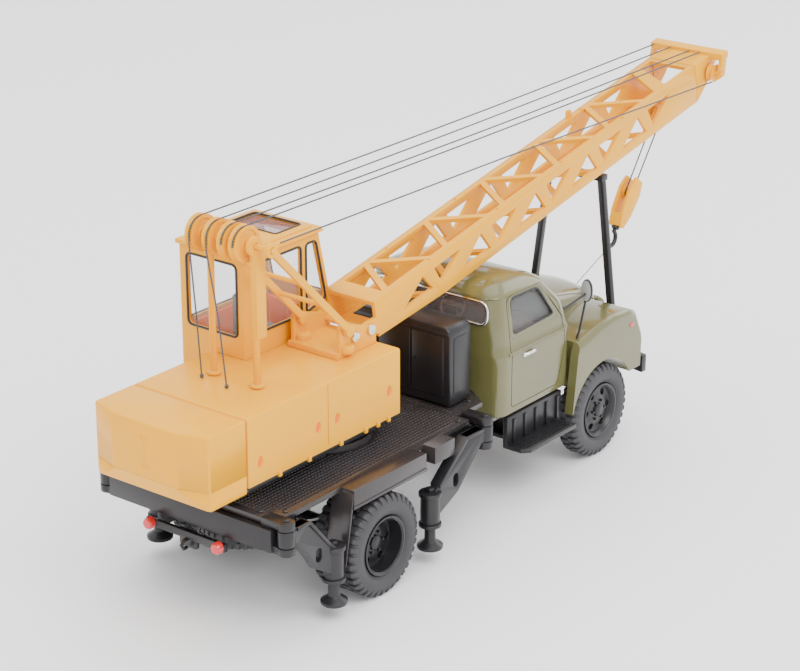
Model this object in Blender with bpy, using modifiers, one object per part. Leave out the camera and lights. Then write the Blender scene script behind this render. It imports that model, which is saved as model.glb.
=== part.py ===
"""A 1:43 collectors' model of a two-axle truck with a cable-luffed lattice-boom crane.

Every measure below is in millimetres. X runs forward from the rear axle, Y to the left and Z up
from the ground. place() turns these into metres about the middle of the whole model.
"""

import math

import bmesh
import bpy
from mathutils import Matrix, Vector

# ---------------------------------------------------------------- driving dimensions (mm)
MM = 0.001
GAP = 0.2  # clearance between neighbouring pieces
BORE = 0.12  # radial clearance of a turning pin

# wheels
WHEELBASE = 86.0
TYRE_R = 11.1
TYRE_W = 5.6
RIM_R = 6.6
PIN_R = 0.9
FRONT_TRACK_OUT = 21.6  # outer face of the front tyres
REAR_TRACK_OUT = 26.2  # outer face of the rear pairs
PAIR_W = 11.6  # width of a rear tyre pair

# chassis
RAIL_Y = 8.4
RAIL_W = 1.4
RAIL_Z = (17.0, 21.6)
RAIL_X = (-30.0, 102.0)
BEAM_Z = (20.2, 25.0)
BEAM_W = 4.2
REAR_BEAM_X = -28.6
FRONT_BEAM_X = 36.4
BEAM_HALF = 21.8
HINGE_Y = 24.0
KNUCKLE_R = 1.8
HINGE_PIN_R = 0.7
LUG_T = 1.6
ARM_Z = (21.8, 25.2)  # barrel of an outrigger arm
ARM_T = 2.0
REAR_ARM = 14.2
FRONT_ARM = 19.1
JACK_TUBE_R = 2.1
JACK_TUBE_Z = (8.6, 16.4)
JACK_LEG_R = 1.2
PAD_R = 2.8
PAD_Z = (3.6, 4.7)
DECK_Z = (25.3, 26.5)
DECK_HALF = 21.6
DECK_X = (-29.4, 34.0)
GUARD_X = (-9.2, 14.4)
GUARD_HALF = 25.2
GUARD_DROP = 3.9
STEP_X = (17.8, 24.5)  # short step in front of each wheel guard
STEP_Z = 22.7
SKIN = 0.8  # sheet thickness of the thin panels

# truck cab, bonnet and front
CAB_X = (48.4, 76.0)
CAB_Z = (20.5, 50.8)
CAB_HALF = 19.4
ROOF_SHARE = 0.84  # width of the roof against the width at the belt
BELT_Z = 37.0
BONNET_FRONT = 102.4
BONNET_Z = (22.2, 37.6)
BONNET_HALF = 10.0
WING_HALF = 21.9
WING_Z = 33.6
ARCH_R = 12.6
GRILLE_T = 0.8
LAMP_Y = 16.4
LAMP_Z = 26.6
LAMP_R = 2.3
BUMPER_Z = (14.9, 19.0)
BUMPER_HALF = 21.2
BUMPER_FRONT = 107.0
TOW_EYE = (106.0, 8.0, 20.4)
BOARD_X = (51.0, 70.4)
BOARD_OUT = 25.0
BOARD_Z = (13.0, 14.0)
LOCKER_X = (35.8, 43.4)
LOCKER_HALF = 15.0
LOCKER_Z = (26.9, 45.0)
MIRROR = (79.0, 21.0, 42.6)
SPARE_X = -14.6
SPARE_R = 9.4
SPARE_Z = (11.9, 16.5)

# boom rest on the bumper
REST_X = 104.6
REST_FOOT_Y = 12.4
REST_TOP_Y = 7.3
REST_BAR = 1.5

# turret
SLEW_X = 9.2
RING_R = 12.0
RING_Z = 27.8
TURNTABLE_R = 10.6
FLOOR_Z = (30.2, 31.4)
HOUSE_X = (-29.2, 18.4)
HOUSE_HALF = 15.1
HOUSE_Z = (31.6, 46.1)
TAIL_X = -42.4
TAIL_CORNER_X = -40.2
TAIL_FACE_HALF = 8.3
TAIL_BOTTOM = 30.4
TAIL_CREASE = 34.6
TAIL_TUCK = 2.2
COCKPIT_X = (-6.3, 18.2)
COCKPIT_Y = (5.5, 23.3)
COCKPIT_Z = (31.6, 68.2)
COCKPIT_NOSE = 2.6
ROOF_T = 0.9
ROOF_LIP = 0.6
SILL_Z = 50.0
HEAD_RAIL = 2.0

# gantry
GANTRY_X = -15.6
GANTRY_Z = 75.8
POST_Y = 5.8
POST_R = 0.75
SHEAVE_R = 3.8
SHEAVE_W = 1.8
SHEAVES_Y = (8.2, 3.7, -0.2, -3.2)
SHAFT_R = 0.6
STRUT_T = 1.5

# boom
PIVOT_X = 16.4
PIVOT_Z = 49.2
PIVOT_PIN_R = 0.5
LUG_R = 1.5
BOOM_Y = -1.6
BOOM_HALF = 6.6
BOOM_WALL = 0.9
BOOM_FOOT = (18.6, 54.6)  # start of the upper chords
BOOM_PITCH = math.radians(11.1)
BOOM_LENGTH = 127.0
BOOM_DEPTH = (8.2, 9.5)
BASE_RISE = 23.0  # length over which the depth grows
SOLID_FOOT = 4.6
SOLID_TIP = 5.0
BAYS = 5  # whole zigzags of the lattice
BAY = 21.2
SIDE_START = 8.8
SIDE_BAND = 2.2  # solid bands along the side plates
CHORD = 1.5
LACING = 1.4
HEAD_REACH = 10.0
HEAD_LIP = 2.0
HEAD_BAR_HALF = 10.2
HEAD_SHEAVE_R = 2.2
HOIST_SHEAVE_R = 2.0
HOIST_U = 119.5
HOIST_V = 11.2
HOIST_CHEEK = (1.1, 1.9)  # inner and outer face of its two cheeks

# hook
FALL_LENGTH = 20.5
FALL_TILT = math.radians(36.2)
BLOCK_SHEAVE_R = 1.9
BLOCK_W = 3.4
CHEEK_T = 0.7
BLOCK_LENGTH = 12.6
BLOCK_HEAD = 3.6  # from the block's upper edge to its sheave
HOOK_R = 1.9
ROPE_R = 0.2

HEAD_TIP = (
    BOOM_FOOT[0]
    + (BOOM_LENGTH + HEAD_REACH) * math.cos(BOOM_PITCH)
    + HEAD_LIP * math.sin(BOOM_PITCH)
)
MIDDLE_X = (TAIL_X + HEAD_TIP) / 2


# ---------------------------------------------------------------- scene helpers
def clear_scene():
    for old in list(bpy.data.objects):
        bpy.data.objects.remove(old, do_unlink=True)


def new_collection(name):
    made = bpy.data.collections.new(name)
    bpy.context.scene.collection.children.link(made)
    return made


clear_scene()
PARTS = new_collection("crane_truck")
CUTTERS = new_collection("crane_truck_cutters")


def material(name, colour, roughness, metallic=0.0, alpha=1.0):
    made = bpy.data.materials.new(name)
    made.use_nodes = True
    shader = made.node_tree.nodes["Principled BSDF"]
    shader.inputs["Base Color"].default_value = (*colour, 1.0)
    shader.inputs["Roughness"].default_value = roughness
    shader.inputs["Metallic"].default_value = metallic
    shader.inputs["Alpha"].default_value = alpha
    made.diffuse_color = (*colour, alpha)
    return made


YELLOW = material("crane_yellow", (0.93, 0.56, 0.06), 0.38)
BLACK = material("chassis_black", (0.028, 0.027, 0.028), 0.45)
OLIVE = material("cab_olive", (0.20, 0.20, 0.075), 0.22)
RUBBER = material("tyre_rubber", (0.045, 0.044, 0.046), 0.7)
GLASS = material("window_clear", (0.85, 0.87, 0.88), 0.05, alpha=0.3)
BROWN = material("interior_brown", (0.16, 0.07, 0.035), 0.55)
GREY = material("seat_grey", (0.16, 0.16, 0.17), 0.6)
CHROME = material("bright_trim", (0.8, 0.8, 0.8), 0.15, 1.0)
RED = material("lamp_red", (0.6, 0.03, 0.03), 0.2)
CORD = material("rope_grey", (0.11, 0.11, 0.12), 0.8)
STEEL = material("pin_steel", (0.62, 0.62, 0.64), 0.3, 1.0)


def place(x, y, z):
    """Millimetres from the rear axle to metres about the middle of the model."""
    return Vector(((x - MIDDLE_X) * MM, y * MM, z * MM))


def link(name, data, finish=None, where=None):
    made = bpy.data.objects.new(name, data)
    PARTS.objects.link(made)
    if where is not None:
        made.location = where
    if finish is not None and not data.materials:
        data.materials.append(finish)
    return made


def mesh_of(bm, name):
    mesh = bpy.data.meshes.new(name)
    bmesh.ops.recalc_face_normals(bm, faces=bm.faces)
    bm.to_mesh(mesh)
    bm.free()
    return mesh


# ---------------------------------------------------------------- shapes
def box(name, finish, low, high):
    bm = bmesh.new()
    bmesh.ops.create_cube(bm, size=1.0)
    size = [(b - a) * MM for a, b in zip(low, high)]
    bmesh.ops.scale(bm, vec=size, verts=bm.verts)
    middle = [(a + b) / 2 for a, b in zip(low, high)]
    return link(name, mesh_of(bm, name), finish, place(*middle))


TURNS = {
    "X": Matrix.Rotation(math.radians(90), 4, "Y"),
    "Y": Matrix.Rotation(math.radians(-90), 4, "X"),
    "Z": Matrix.Identity(4),
}


def cylinder(name, finish, centre, radius, length, axis="Z", sides=16, tip=None):
    bm = bmesh.new()
    bmesh.ops.create_cone(
        bm,
        cap_ends=True,
        segments=sides,
        radius1=radius * MM,
        radius2=(radius if tip is None else tip) * MM,
        depth=length * MM,
    )
    bmesh.ops.transform(bm, matrix=TURNS[axis], verts=bm.verts)
    made = link(name, mesh_of(bm, name), finish, place(*centre))
    made.data.shade_smooth()
    made.data.set_sharp_from_angle(angle=math.radians(40))
    return made


def as_mesh(curve_object, finish):
    """The evaluated curve as a mesh object of the same name, with its caps welded."""
    graph = bpy.context.evaluated_depsgraph_get()
    graph.update()
    mesh = bpy.data.meshes.new_from_object(curve_object.evaluated_get(graph))
    matrix, name = curve_object.matrix_world.copy(), curve_object.name
    old = curve_object.data
    bpy.data.objects.remove(curve_object)
    bpy.data.curves.remove(old)
    bm = bmesh.new()
    bm.from_mesh(mesh)
    bmesh.ops.remove_doubles(bm, verts=bm.verts, dist=1e-7)
    bmesh.ops.recalc_face_normals(bm, faces=bm.faces)
    bm.to_mesh(mesh)
    bm.free()
    mesh.materials.clear()
    made = link(name, mesh, finish)
    made.matrix_world = matrix
    return made


PLANES = {
    "XY": Matrix.Identity(4),
    "XZ": Matrix(((1, 0, 0, 0), (0, 0, -1, 0), (0, 1, 0, 0), (0, 0, 0, 1))),
    "YZ": Matrix(((0, 0, 1, 0), (1, 0, 0, 0), (0, 1, 0, 0), (0, 0, 0, 1))),
}


def plate(name, finish, outline, plane, low, high):
    """A flat outline in one plane, given thickness between two places on the third axis."""
    curve = bpy.data.curves.new(name, "CURVE")
    curve.dimensions = "2D"
    curve.fill_mode = "BOTH"
    curve.extrude = (high - low) / 2 * MM
    spline = curve.splines.new("POLY")
    spline.points.add(len(outline) - 1)
    for point, (a, b) in zip(spline.points, outline):
        point.co = (a * MM, b * MM, 0.0, 1.0)
    spline.use_cyclic_u = True
    made = bpy.data.objects.new(name, curve)
    PARTS.objects.link(made)
    middle = (low + high) / 2
    offset = {"XY": (0, 0, middle), "XZ": (0, middle, 0), "YZ": (middle, 0, 0)}[plane]
    made.matrix_world = Matrix.Translation(place(*offset)) @ PLANES[plane]
    bpy.context.view_layer.update()
    return as_mesh(made, finish)


def rod(name, finish, points, radius, resolution=2):
    """A round bar or a rope along a list of points."""
    curve = bpy.data.curves.new(name, "CURVE")
    curve.dimensions = "3D"
    curve.bevel_depth = radius * MM
    curve.bevel_resolution = resolution
    curve.use_fill_caps = True
    spline = curve.splines.new("POLY")
    spline.points.add(len(points) - 1)
    for point, where in zip(spline.points, points):
        point.co = (*place(*where), 1.0)
    made = bpy.data.objects.new(name, curve)
    PARTS.objects.link(made)
    bpy.context.view_layer.update()
    return as_mesh(made, finish)


def turned(name, finish, profile, centre, axis="Z", steps=24):
    """A closed profile of (radius, height) pairs, outer side first and running down, turned."""
    bm = bmesh.new()
    ring = [bm.verts.new((r * MM, 0.0, h * MM)) for r, h in profile]
    for first, second in zip(ring, ring[1:] + ring[:1]):
        bm.edges.new((first, second))
    mesh = bpy.data.meshes.new(name)
    bm.to_mesh(mesh)
    bm.free()
    made = link(name, mesh, finish, place(*centre))
    made.rotation_euler = TURNS[axis].to_euler()
    screw = made.modifiers.new("Turn", "SCREW")
    screw.steps = steps
    screw.render_steps = steps
    screw.use_merge_vertices = True
    screw.merge_threshold = 1e-6
    screw.use_smooth_shade = True
    return made


def arc(centre_a, centre_b, radius, start, end, count):
    """Points on an arc, from one angle to another in degrees."""
    angles = [math.radians(start + (end - start) * i / count) for i in range(count + 1)]
    return [(centre_a + radius * math.cos(t), centre_b + radius * math.sin(t)) for t in angles]


def helper(tool):
    PARTS.objects.unlink(tool)
    CUTTERS.objects.link(tool)
    tool.hide_render = True
    tool.display_type = "WIRE"
    return tool


def combine(body, operation, tools):
    for tool in tools:
        step = body.modifiers.new(tool.name, "BOOLEAN")
        step.operation = operation
        step.solver = "EXACT"
        step.object = helper(tool)
    return body


def fuse(body, *tools):
    return combine(body, "UNION", tools)


def cut(body, *tools):
    return combine(body, "DIFFERENCE", tools)


def hang(name, where, members, parent=None):
    """An empty on a joint's axis, which carries the members."""
    empty = bpy.data.objects.new(name, None)
    PARTS.objects.link(empty)
    empty.empty_display_size = 0.004
    empty.location = place(*where)
    bpy.context.view_layer.update()
    for member in members:
        member.parent = empty
        member.matrix_parent_inverse = empty.matrix_world.inverted()
    if parent is not None:
        empty.parent = parent
        empty.matrix_parent_inverse = parent.matrix_world.inverted()
    return empty


SIDES = (("left", 1), ("right", -1))


def span(a, b):
    return min(a, b), max(a, b)


# ---------------------------------------------------------------- chassis
def outrigger_beam(where, x):
    """A cross beam with two hinge lugs and a pin at each end."""
    pieces = [
        box(
            f"beam_{where}",
            BLACK,
            (x - BEAM_W / 2, -BEAM_HALF, BEAM_Z[0]),
            (x + BEAM_W / 2, BEAM_HALF, BEAM_Z[1]),
        )
    ]
    low = (ARM_Z[0] - GAP - LUG_T, ARM_Z[0] - GAP)
    high = (ARM_Z[1] + GAP, ARM_Z[1] + GAP + LUG_T)
    for side, s in SIDES:
        for level, (z0, z1) in (("low", low), ("high", high)):
            tag = f"{where}_{side}_{level}"
            pieces.append(
                cylinder(
                    f"knuckle_{tag}",
                    BLACK,
                    (x, s * HINGE_Y, (z0 + z1) / 2),
                    KNUCKLE_R,
                    z1 - z0,
                )
            )
            y0, y1 = span(s * (BEAM_HALF - 3.0), s * HINGE_Y)
            reach = (z0, BEAM_Z[0] + 1.0) if level == "low" else (BEAM_Z[1] - 1.0, z1)
            pieces.append(
                box(
                    f"lug_{tag}",
                    BLACK,
                    (x - KNUCKLE_R + 0.3, y0, z0),
                    (x + KNUCKLE_R - 0.3, y1, z1),
                )
            )
            y0, y1 = span(s * (BEAM_HALF - 3.0), s * (BEAM_HALF - 0.6))
            pieces.append(
                box(
                    f"web_{tag}",
                    BLACK,
                    (x - KNUCKLE_R + 0.6, y0, reach[0]),
                    (x + KNUCKLE_R - 0.6, y1, reach[1]),
                )
            )
        pieces.append(
            cylinder(
                f"hinge_pin_{where}_{side}",
                BLACK,
                (x, s * HINGE_Y, (low[0] + high[1]) / 2),
                HINGE_PIN_R,
                high[1] - low[0] - 1.0,
                sides=16,
            )
        )
    return pieces


def chassis_frame():
    y0, y1 = RAIL_Y - RAIL_W / 2, RAIL_Y + RAIL_W / 2
    frame = box("chassis_frame", BLACK, (RAIL_X[0], y0, RAIL_Z[0]), (RAIL_X[1], y1, RAIL_Z[1]))
    other = box("rail_right", BLACK, (RAIL_X[0], -y1, RAIL_Z[0]), (RAIL_X[1], -y0, RAIL_Z[1]))
    members = [other]
    for i, x in enumerate((-25.6, -4.0, 20.0, 45.0, 64.0, WHEELBASE, RAIL_X[1] - 1.6)):
        members.append(
            box(
                f"cross_member_{i}",
                BLACK,
                (x - 1.0, -RAIL_Y, RAIL_Z[0] + 0.9),
                (x + 1.0, RAIL_Y, RAIL_Z[1] - 0.9),
            )
        )
    members += outrigger_beam("rear", REAR_BEAM_X)
    members += outrigger_beam("front", FRONT_BEAM_X)
    fuse(frame, *members)
    # a boss on the underside takes the screw of a display plinth
    fuse(frame, cylinder("plinth_boss", BLACK, (45.0, 0.0, RAIL_Z[0]), 3.2, 3.0))
    return frame


def deck_outline():
    rear, front = DECK_X
    half = DECK_HALF
    step_half, nose_half = half - 3.4, 12.6
    end = CAB_X[0] - 1.0
    notch_x, notch_y = REAR_BEAM_X + KNUCKLE_R + 2 * GAP, BEAM_HALF - 3.0 - GAP
    right = [
        (rear, -notch_y),
        (notch_x, -notch_y),
        (notch_x, -half),
        (front, -half),
        (front, -step_half),
        (end - 4.0, -step_half),
        (end, -nose_half),
    ]
    return right + [(x, -y) for x, y in reversed(right)]


def deck():
    deck = plate("deck_plate", BLACK, deck_outline(), "XY", *DECK_Z)
    for side, s in SIDES:
        y0, y1 = span(s * (DECK_HALF - 0.4), s * GUARD_HALF)
        top = DECK_Z[1] + 0.05
        fuse(
            deck,
            box(
                f"guard_{side}",
                BLACK,
                (GUARD_X[0], y0, DECK_Z[1] - GUARD_DROP),
                (GUARD_X[1], y1, top),
            ),
        )
        y0, y1 = span(s * (DECK_HALF - 2.0), s * (GUARD_HALF - SKIN))
        cut(
            deck,
            box(
                f"guard_hollow_{side}",
                BLACK,
                (GUARD_X[0] + SKIN, y0, DECK_Z[1] - GUARD_DROP - 1.0),
                (GUARD_X[1] - SKIN, y1, DECK_Z[0] - 0.1),
            ),
        )
    for side, s in SIDES:
        y0, y1 = span(s * (DECK_HALF - 0.6), s * (GUARD_HALF - 0.3))
        fuse(deck, box(f"side_step_{side}", BLACK, (STEP_X[0], y0, STEP_Z), (STEP_X[1], y1, DECK_Z[1] - 0.1)))
    ring_low = DECK_Z[0] + 0.4
    fuse(
        deck,
        cylinder(
            "slew_seat", BLACK, (SLEW_X, 0, (ring_low + RING_Z) / 2), RING_R, RING_Z - ring_low, sides=40
        ),
    )
    return deck


def rear_axle():
    """The axle tube with its gear case and the two leaf springs it hangs on."""
    reach = REAR_TRACK_OUT - PAIR_W - GAP
    tube = cylinder("rear_axle_housing", BLACK, (0, 0, TYRE_R), 1.9, 2 * reach, "Y", 20)
    case = cylinder("gear_case", BLACK, (0, 0, TYRE_R), 3.4, 4.4, "X", 20)
    bell = cylinder("gear_case_bell", BLACK, (0, 0, TYRE_R), 3.6, 5.6, "Y", 20, tip=2.4)
    fuse(tube, case, bell)
    top = RAIL_Z[0] - GAP
    for side, s in SIDES:
        y0, y1 = span(s * 11.2, s * 12.6)
        outline = arc(0, top + 20.5, 24.9, -90 - 30, -90 + 30, 8)
        outline += arc(0, top + 20.5, 23.0, -90 + 30, -90 - 30, 8)
        fuse(tube, plate(f"rear_spring_{side}", BLACK, outline, "XZ", y0, y1))
    cut(tube, cylinder("rear_axle_bore", BLACK, (0, 0, TYRE_R), PIN_R + BORE, 2 * reach + 4, "Y", 20))
    return tube


def spare_wheel():
    middle = (SPARE_Z[0] + SPARE_Z[1]) / 2
    half = (SPARE_Z[1] - SPARE_Z[0]) / 2
    profile = [
        (SPARE_R - 0.9, half),
        (SPARE_R, half - 1.0),
        (SPARE_R, 1.0 - half),
        (SPARE_R - 0.9, -half),
        (5.6, -half),
        (5.6, -0.6),
        (1.4, -0.6),
        (1.4, 0.6),
        (5.6, 0.6),
        (5.6, half),
    ]
    return turned("spare_wheel", RUBBER, profile, (SPARE_X, 0, middle), "Z", 24)


def tail_lamps():
    x0 = REAR_BEAM_X - BEAM_W / 2 - GAP
    bar = box("tail_lamp_bar", BLACK, (x0 - 0.9, -10.6, 17.4), (x0, 10.6, 19.0))
    for side, s in SIDES:
        lamp = cylinder(f"lamp_{side}", RED, (x0 - 1.3, s * 9.2, 18.2), 1.15, 1.4, "X", 16)
        fuse(bar, lamp)
    return bar


def outrigger(name, hinge_x, side, direction, length):
    """One swinging arm with the jack tube at its end, and the jack that slides in it."""
    y = side * HINGE_Y
    end_x = hinge_x + direction * length

    def at(distance):
        return hinge_x + direction * distance

    barrel_mid = (ARM_Z[0] + ARM_Z[1]) / 2
    arm = cylinder(f"{name}_arm", BLACK, (hinge_x, y, barrel_mid), KNUCKLE_R, ARM_Z[1] - ARM_Z[0])
    tube_low, tube_high = JACK_TUBE_Z
    outline = [
        (at(0.9), ARM_Z[1]),
        (at(length * 0.40), ARM_Z[1]),
        (at(length), tube_high - 0.4),
        (at(length), tube_low + 1.2),
        (at(length * 0.55), tube_low + 5.2),
        (at(KNUCKLE_R + 3 * GAP), ARM_Z[0]),
        (at(0.9), ARM_Z[0]),
    ]
    web = plate(f"{name}_web", BLACK, outline, "XZ", y - ARM_T / 2, y + ARM_T / 2)
    tube = cylinder(
        f"{name}_tube", BLACK, (end_x, y, (tube_low + tube_high) / 2), JACK_TUBE_R, tube_high - tube_low
    )
    fuse(arm, web, tube)
    leg_top = tube_high - 1.2
    cut(
        arm,
        cylinder(f"{name}_pin_bore", BLACK, (hinge_x, y, barrel_mid), HINGE_PIN_R + BORE, 6.0, sides=16),
        cylinder(
            f"{name}_leg_bore",
            BLACK,
            (end_x, y, (tube_low - 2 + leg_top) / 2),
            JACK_LEG_R + BORE,
            leg_top - tube_low + 2,
            sides=20,
        ),
    )
    slot_x, slot_z = at(length * 0.60), barrel_mid - 6.2
    slot = arc(slot_x, slot_z, 0.9, 0, 180, 6)
    slot += arc(slot_x, slot_z - 1.3, 0.9, 180, 360, 6)
    cut(arm, plate(f"{name}_slot", BLACK, slot, "XZ", y - ARM_T, y + ARM_T))
    rise = leg_top - GAP
    profile = [
        (JACK_LEG_R, rise),
        (JACK_LEG_R, PAD_Z[1] + 1.0),
        (JACK_LEG_R + 0.7, PAD_Z[1] + 0.3),
        (PAD_R, PAD_Z[1] - 0.3),
        (PAD_R, PAD_Z[0]),
        (0.0, PAD_Z[0]),
        (0.0, rise),
    ]
    jack = turned(f"{name}_jack", BLACK, profile, (end_x, y, 0), "Z", 20)
    return arm, jack


# ---------------------------------------------------------------- wheels
def tyre(name, x, outer, inward, width, groove=0.0):
    """A tyre, or a pair of them in one when groove is the depth of the slot between the two."""
    r, half = TYRE_R, width / 2
    shoulder = 0.8
    profile = [
        (r - shoulder, half),
        (r, half - shoulder),
    ]
    if groove:
        profile += [(r, 0.5), (r - groove, 0.3), (r - groove, -0.3), (r, -0.5)]
    profile += [
        (r, shoulder - half),
        (r - shoulder, -half),
        (RIM_R + 1.4, -half - 0.0),
        (RIM_R, 0.7 - half),
        (RIM_R, half - 0.7),
        (RIM_R + 1.4, half),
    ]
    middle = outer + inward * half
    return turned(name, RUBBER, profile, (x, middle, TYRE_R), "Y", 28)


def rim(name, x, side, outer, width, dish):
    """A wheel disc in its rim. dish is how far its face lies inside the tyre's outer face."""
    r = RIM_R - GAP
    hub = PIN_R + BORE
    face = outer - dish
    profile = [
        (r, outer - 0.5),
        (r, outer - width + 0.5),
        (r - 0.9, outer - width + 0.5),
        (r - 0.9, face - 1.2),
        (hub, face - 1.2),
        (hub, face + 0.6),
        (1.9, face + 0.6),
        (2.6, face),
        (r - 1.3, face - 0.2),
        (r - 0.9, outer - 0.5),
    ]
    if side < 0:
        profile = [(radius, -h) for radius, h in reversed(profile)]
    made = turned(name, BLACK, profile, (x, 0, TYRE_R), "Y", 20)
    # four hand holes through the disc
    for i in range(4):
        angle = math.radians(45 + 90 * i)
        hole = cylinder(
            f"{name}_hand_hole_{i}",
            BLACK,
            (x + 4.2 * math.cos(angle), side * (face - 0.6), TYRE_R + 4.2 * math.sin(angle)),
            0.65,
            4.0,
            "Y",
            10,
        )
        cut(made, hole)
    return made


def wheel_set(end, x, outer, width, dish, groove):
    pin = cylinder(
        f"{end}_wheel_pin", STEEL, (x, 0, TYRE_R), PIN_R, 2 * (outer - dish) - 0.6, "Y", 16
    )
    pieces = [pin]
    for side, s in SIDES:
        pieces.append(rim(f"{end}_rim_{side}", x, s, outer, width, dish))
        pieces.append(tyre(f"{end}_tyre_{side}", x, s * outer, -s, width, groove))
    return pieces


# ---------------------------------------------------------------- truck cab and front
def cab_solid(name, finish, inset, floor):
    """The cab's side profile, narrowed towards the roof. inset moves every wall inwards."""
    rear, front = CAB_X[0] + inset, CAB_X[1] - inset
    top = CAB_Z[1] - inset
    outline = [
        (rear, floor),
        (front, floor),
        (front, BELT_Z - inset),
        (front - 1.6, BELT_Z + 1.0 - inset),
        (CAB_X[1] - 9.6 - inset, top - 0.9),
        (CAB_X[1] - 13.0, top),
        (rear + 5.0, top - 0.3),
        (rear + 1.6, top - 1.6),
        (rear, top - 4.6),
        (rear, BELT_Z),
    ]
    half = CAB_HALF - inset
    made = plate(name, finish, outline, "XZ", -half, half)
    rise = CAB_Z[1] - BELT_Z
    for vertex in made.data.vertices:
        height = (made.matrix_world @ vertex.co).z / MM - BELT_Z
        if height > 0:
            vertex.co.z *= 1 - (1 - ROOF_SHARE) * height / rise
    return made


def cab():
    shell = cab_solid("cab_shell", OLIVE, 0.0, CAB_Z[0])
    inner = cab_solid("cab_inside", OLIVE, SKIN, CAB_Z[0] - 2)
    cut(shell, inner)
    belt, top = BELT_Z + 2.2, CAB_Z[1] - 3.4
    tunnel_half, tunnel_top = RAIL_Y + RAIL_W / 2 + GAP, RAIL_Z[1] + GAP
    tunnel = box(
        "rail_tunnel",
        OLIVE,
        (CAB_X[0] - 2, -tunnel_half, CAB_Z[0] - 2),
        (CAB_X[1] + 2, tunnel_half, tunnel_top),
    )
    cut(shell, tunnel)
    window = [
        (CAB_X[0] + 2.6, top - 0.6),
        (CAB_X[0] + 2.9, belt),
        (CAB_X[0] + 16.6, belt),
        (CAB_X[0] + 13.4, top),
        (CAB_X[0] + 3.6, top),
    ]
    rear = box(
        "rear_window_hole",
        OLIVE,
        (CAB_X[0] - 3, -15.0, belt + 1.6),
        (CAB_X[0] + 1.8, 15.0, top - 0.6),
    )
    screen = box(
        "windscreen_hole", OLIVE, (CAB_X[0] + 15.6, -15.0, belt + 0.8), (CAB_X[1] + 1, 15.0, top + 0.4)
    )
    cut(shell, plate("side_window_hole", OLIVE, window, "XZ", -30, 30), rear, screen)
    return shell


def cab_glazing():
    """One clear moulding inside the cab shell, open below."""
    outer = cab_solid("cab_glazing", GLASS, SKIN + GAP, BELT_Z - 1.0)
    cut(outer, cab_solid("cab_glazing_inside", GLASS, SKIN + GAP + 0.5, BELT_Z - 3.0))
    return outer


def cab_interior():
    """Floor, bench, back rest, dashboard and steering wheel in one moulding."""
    inset = SKIN + GAP + 0.1
    x0, x1 = CAB_X[0] + inset, CAB_X[1] - inset
    half = CAB_HALF - inset
    floor = RAIL_Z[1] + GAP
    body = box("cab_interior", BROWN, (x0, -half, floor), (x1, half, floor + 1.2))
    bench = box("bench", BROWN, (x0, -half + 1, floor + 0.5), (x0 + 9.0, half - 1, floor + 6.0))
    back = box("back_rest", BROWN, (x0, -half + 1, floor + 5.0), (x0 + 2.6, half - 1, BELT_Z - 1.4))
    dash = box("dashboard", BROWN, (x1 - 3.4, -half, floor + 0.5), (x1, half, BELT_Z - 2.0))
    wheel_at = (x1 - 6.2, 8.6, BELT_Z - 1.6)
    column = rod(
        "steering_column",
        BROWN,
        [(x1 - 1.5, 8.6, floor + 6.5), (wheel_at[0], wheel_at[1], wheel_at[2])],
        0.45,
    )
    fuse(body, bench, back, dash, column)
    wheel = turned(
        "steering_wheel_rim", BROWN, [(3.6, 0.3), (3.6, -0.3), (3.0, -0.3), (3.0, 0.3)], wheel_at, "Z", 20
    )
    wheel.rotation_euler = (0.0, math.radians(-52), 0.0)
    spoke = box(
        "steering_spoke",
        BROWN,
        (wheel_at[0] - 0.5, wheel_at[1] - 3.3, wheel_at[2] - 0.25),
        (wheel_at[0] + 0.5, wheel_at[1] + 3.3, wheel_at[2] + 0.25),
    )
    spoke.rotation_euler = (0.0, math.radians(-52), 0.0)
    fuse(body, wheel, spoke)
    return body


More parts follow.
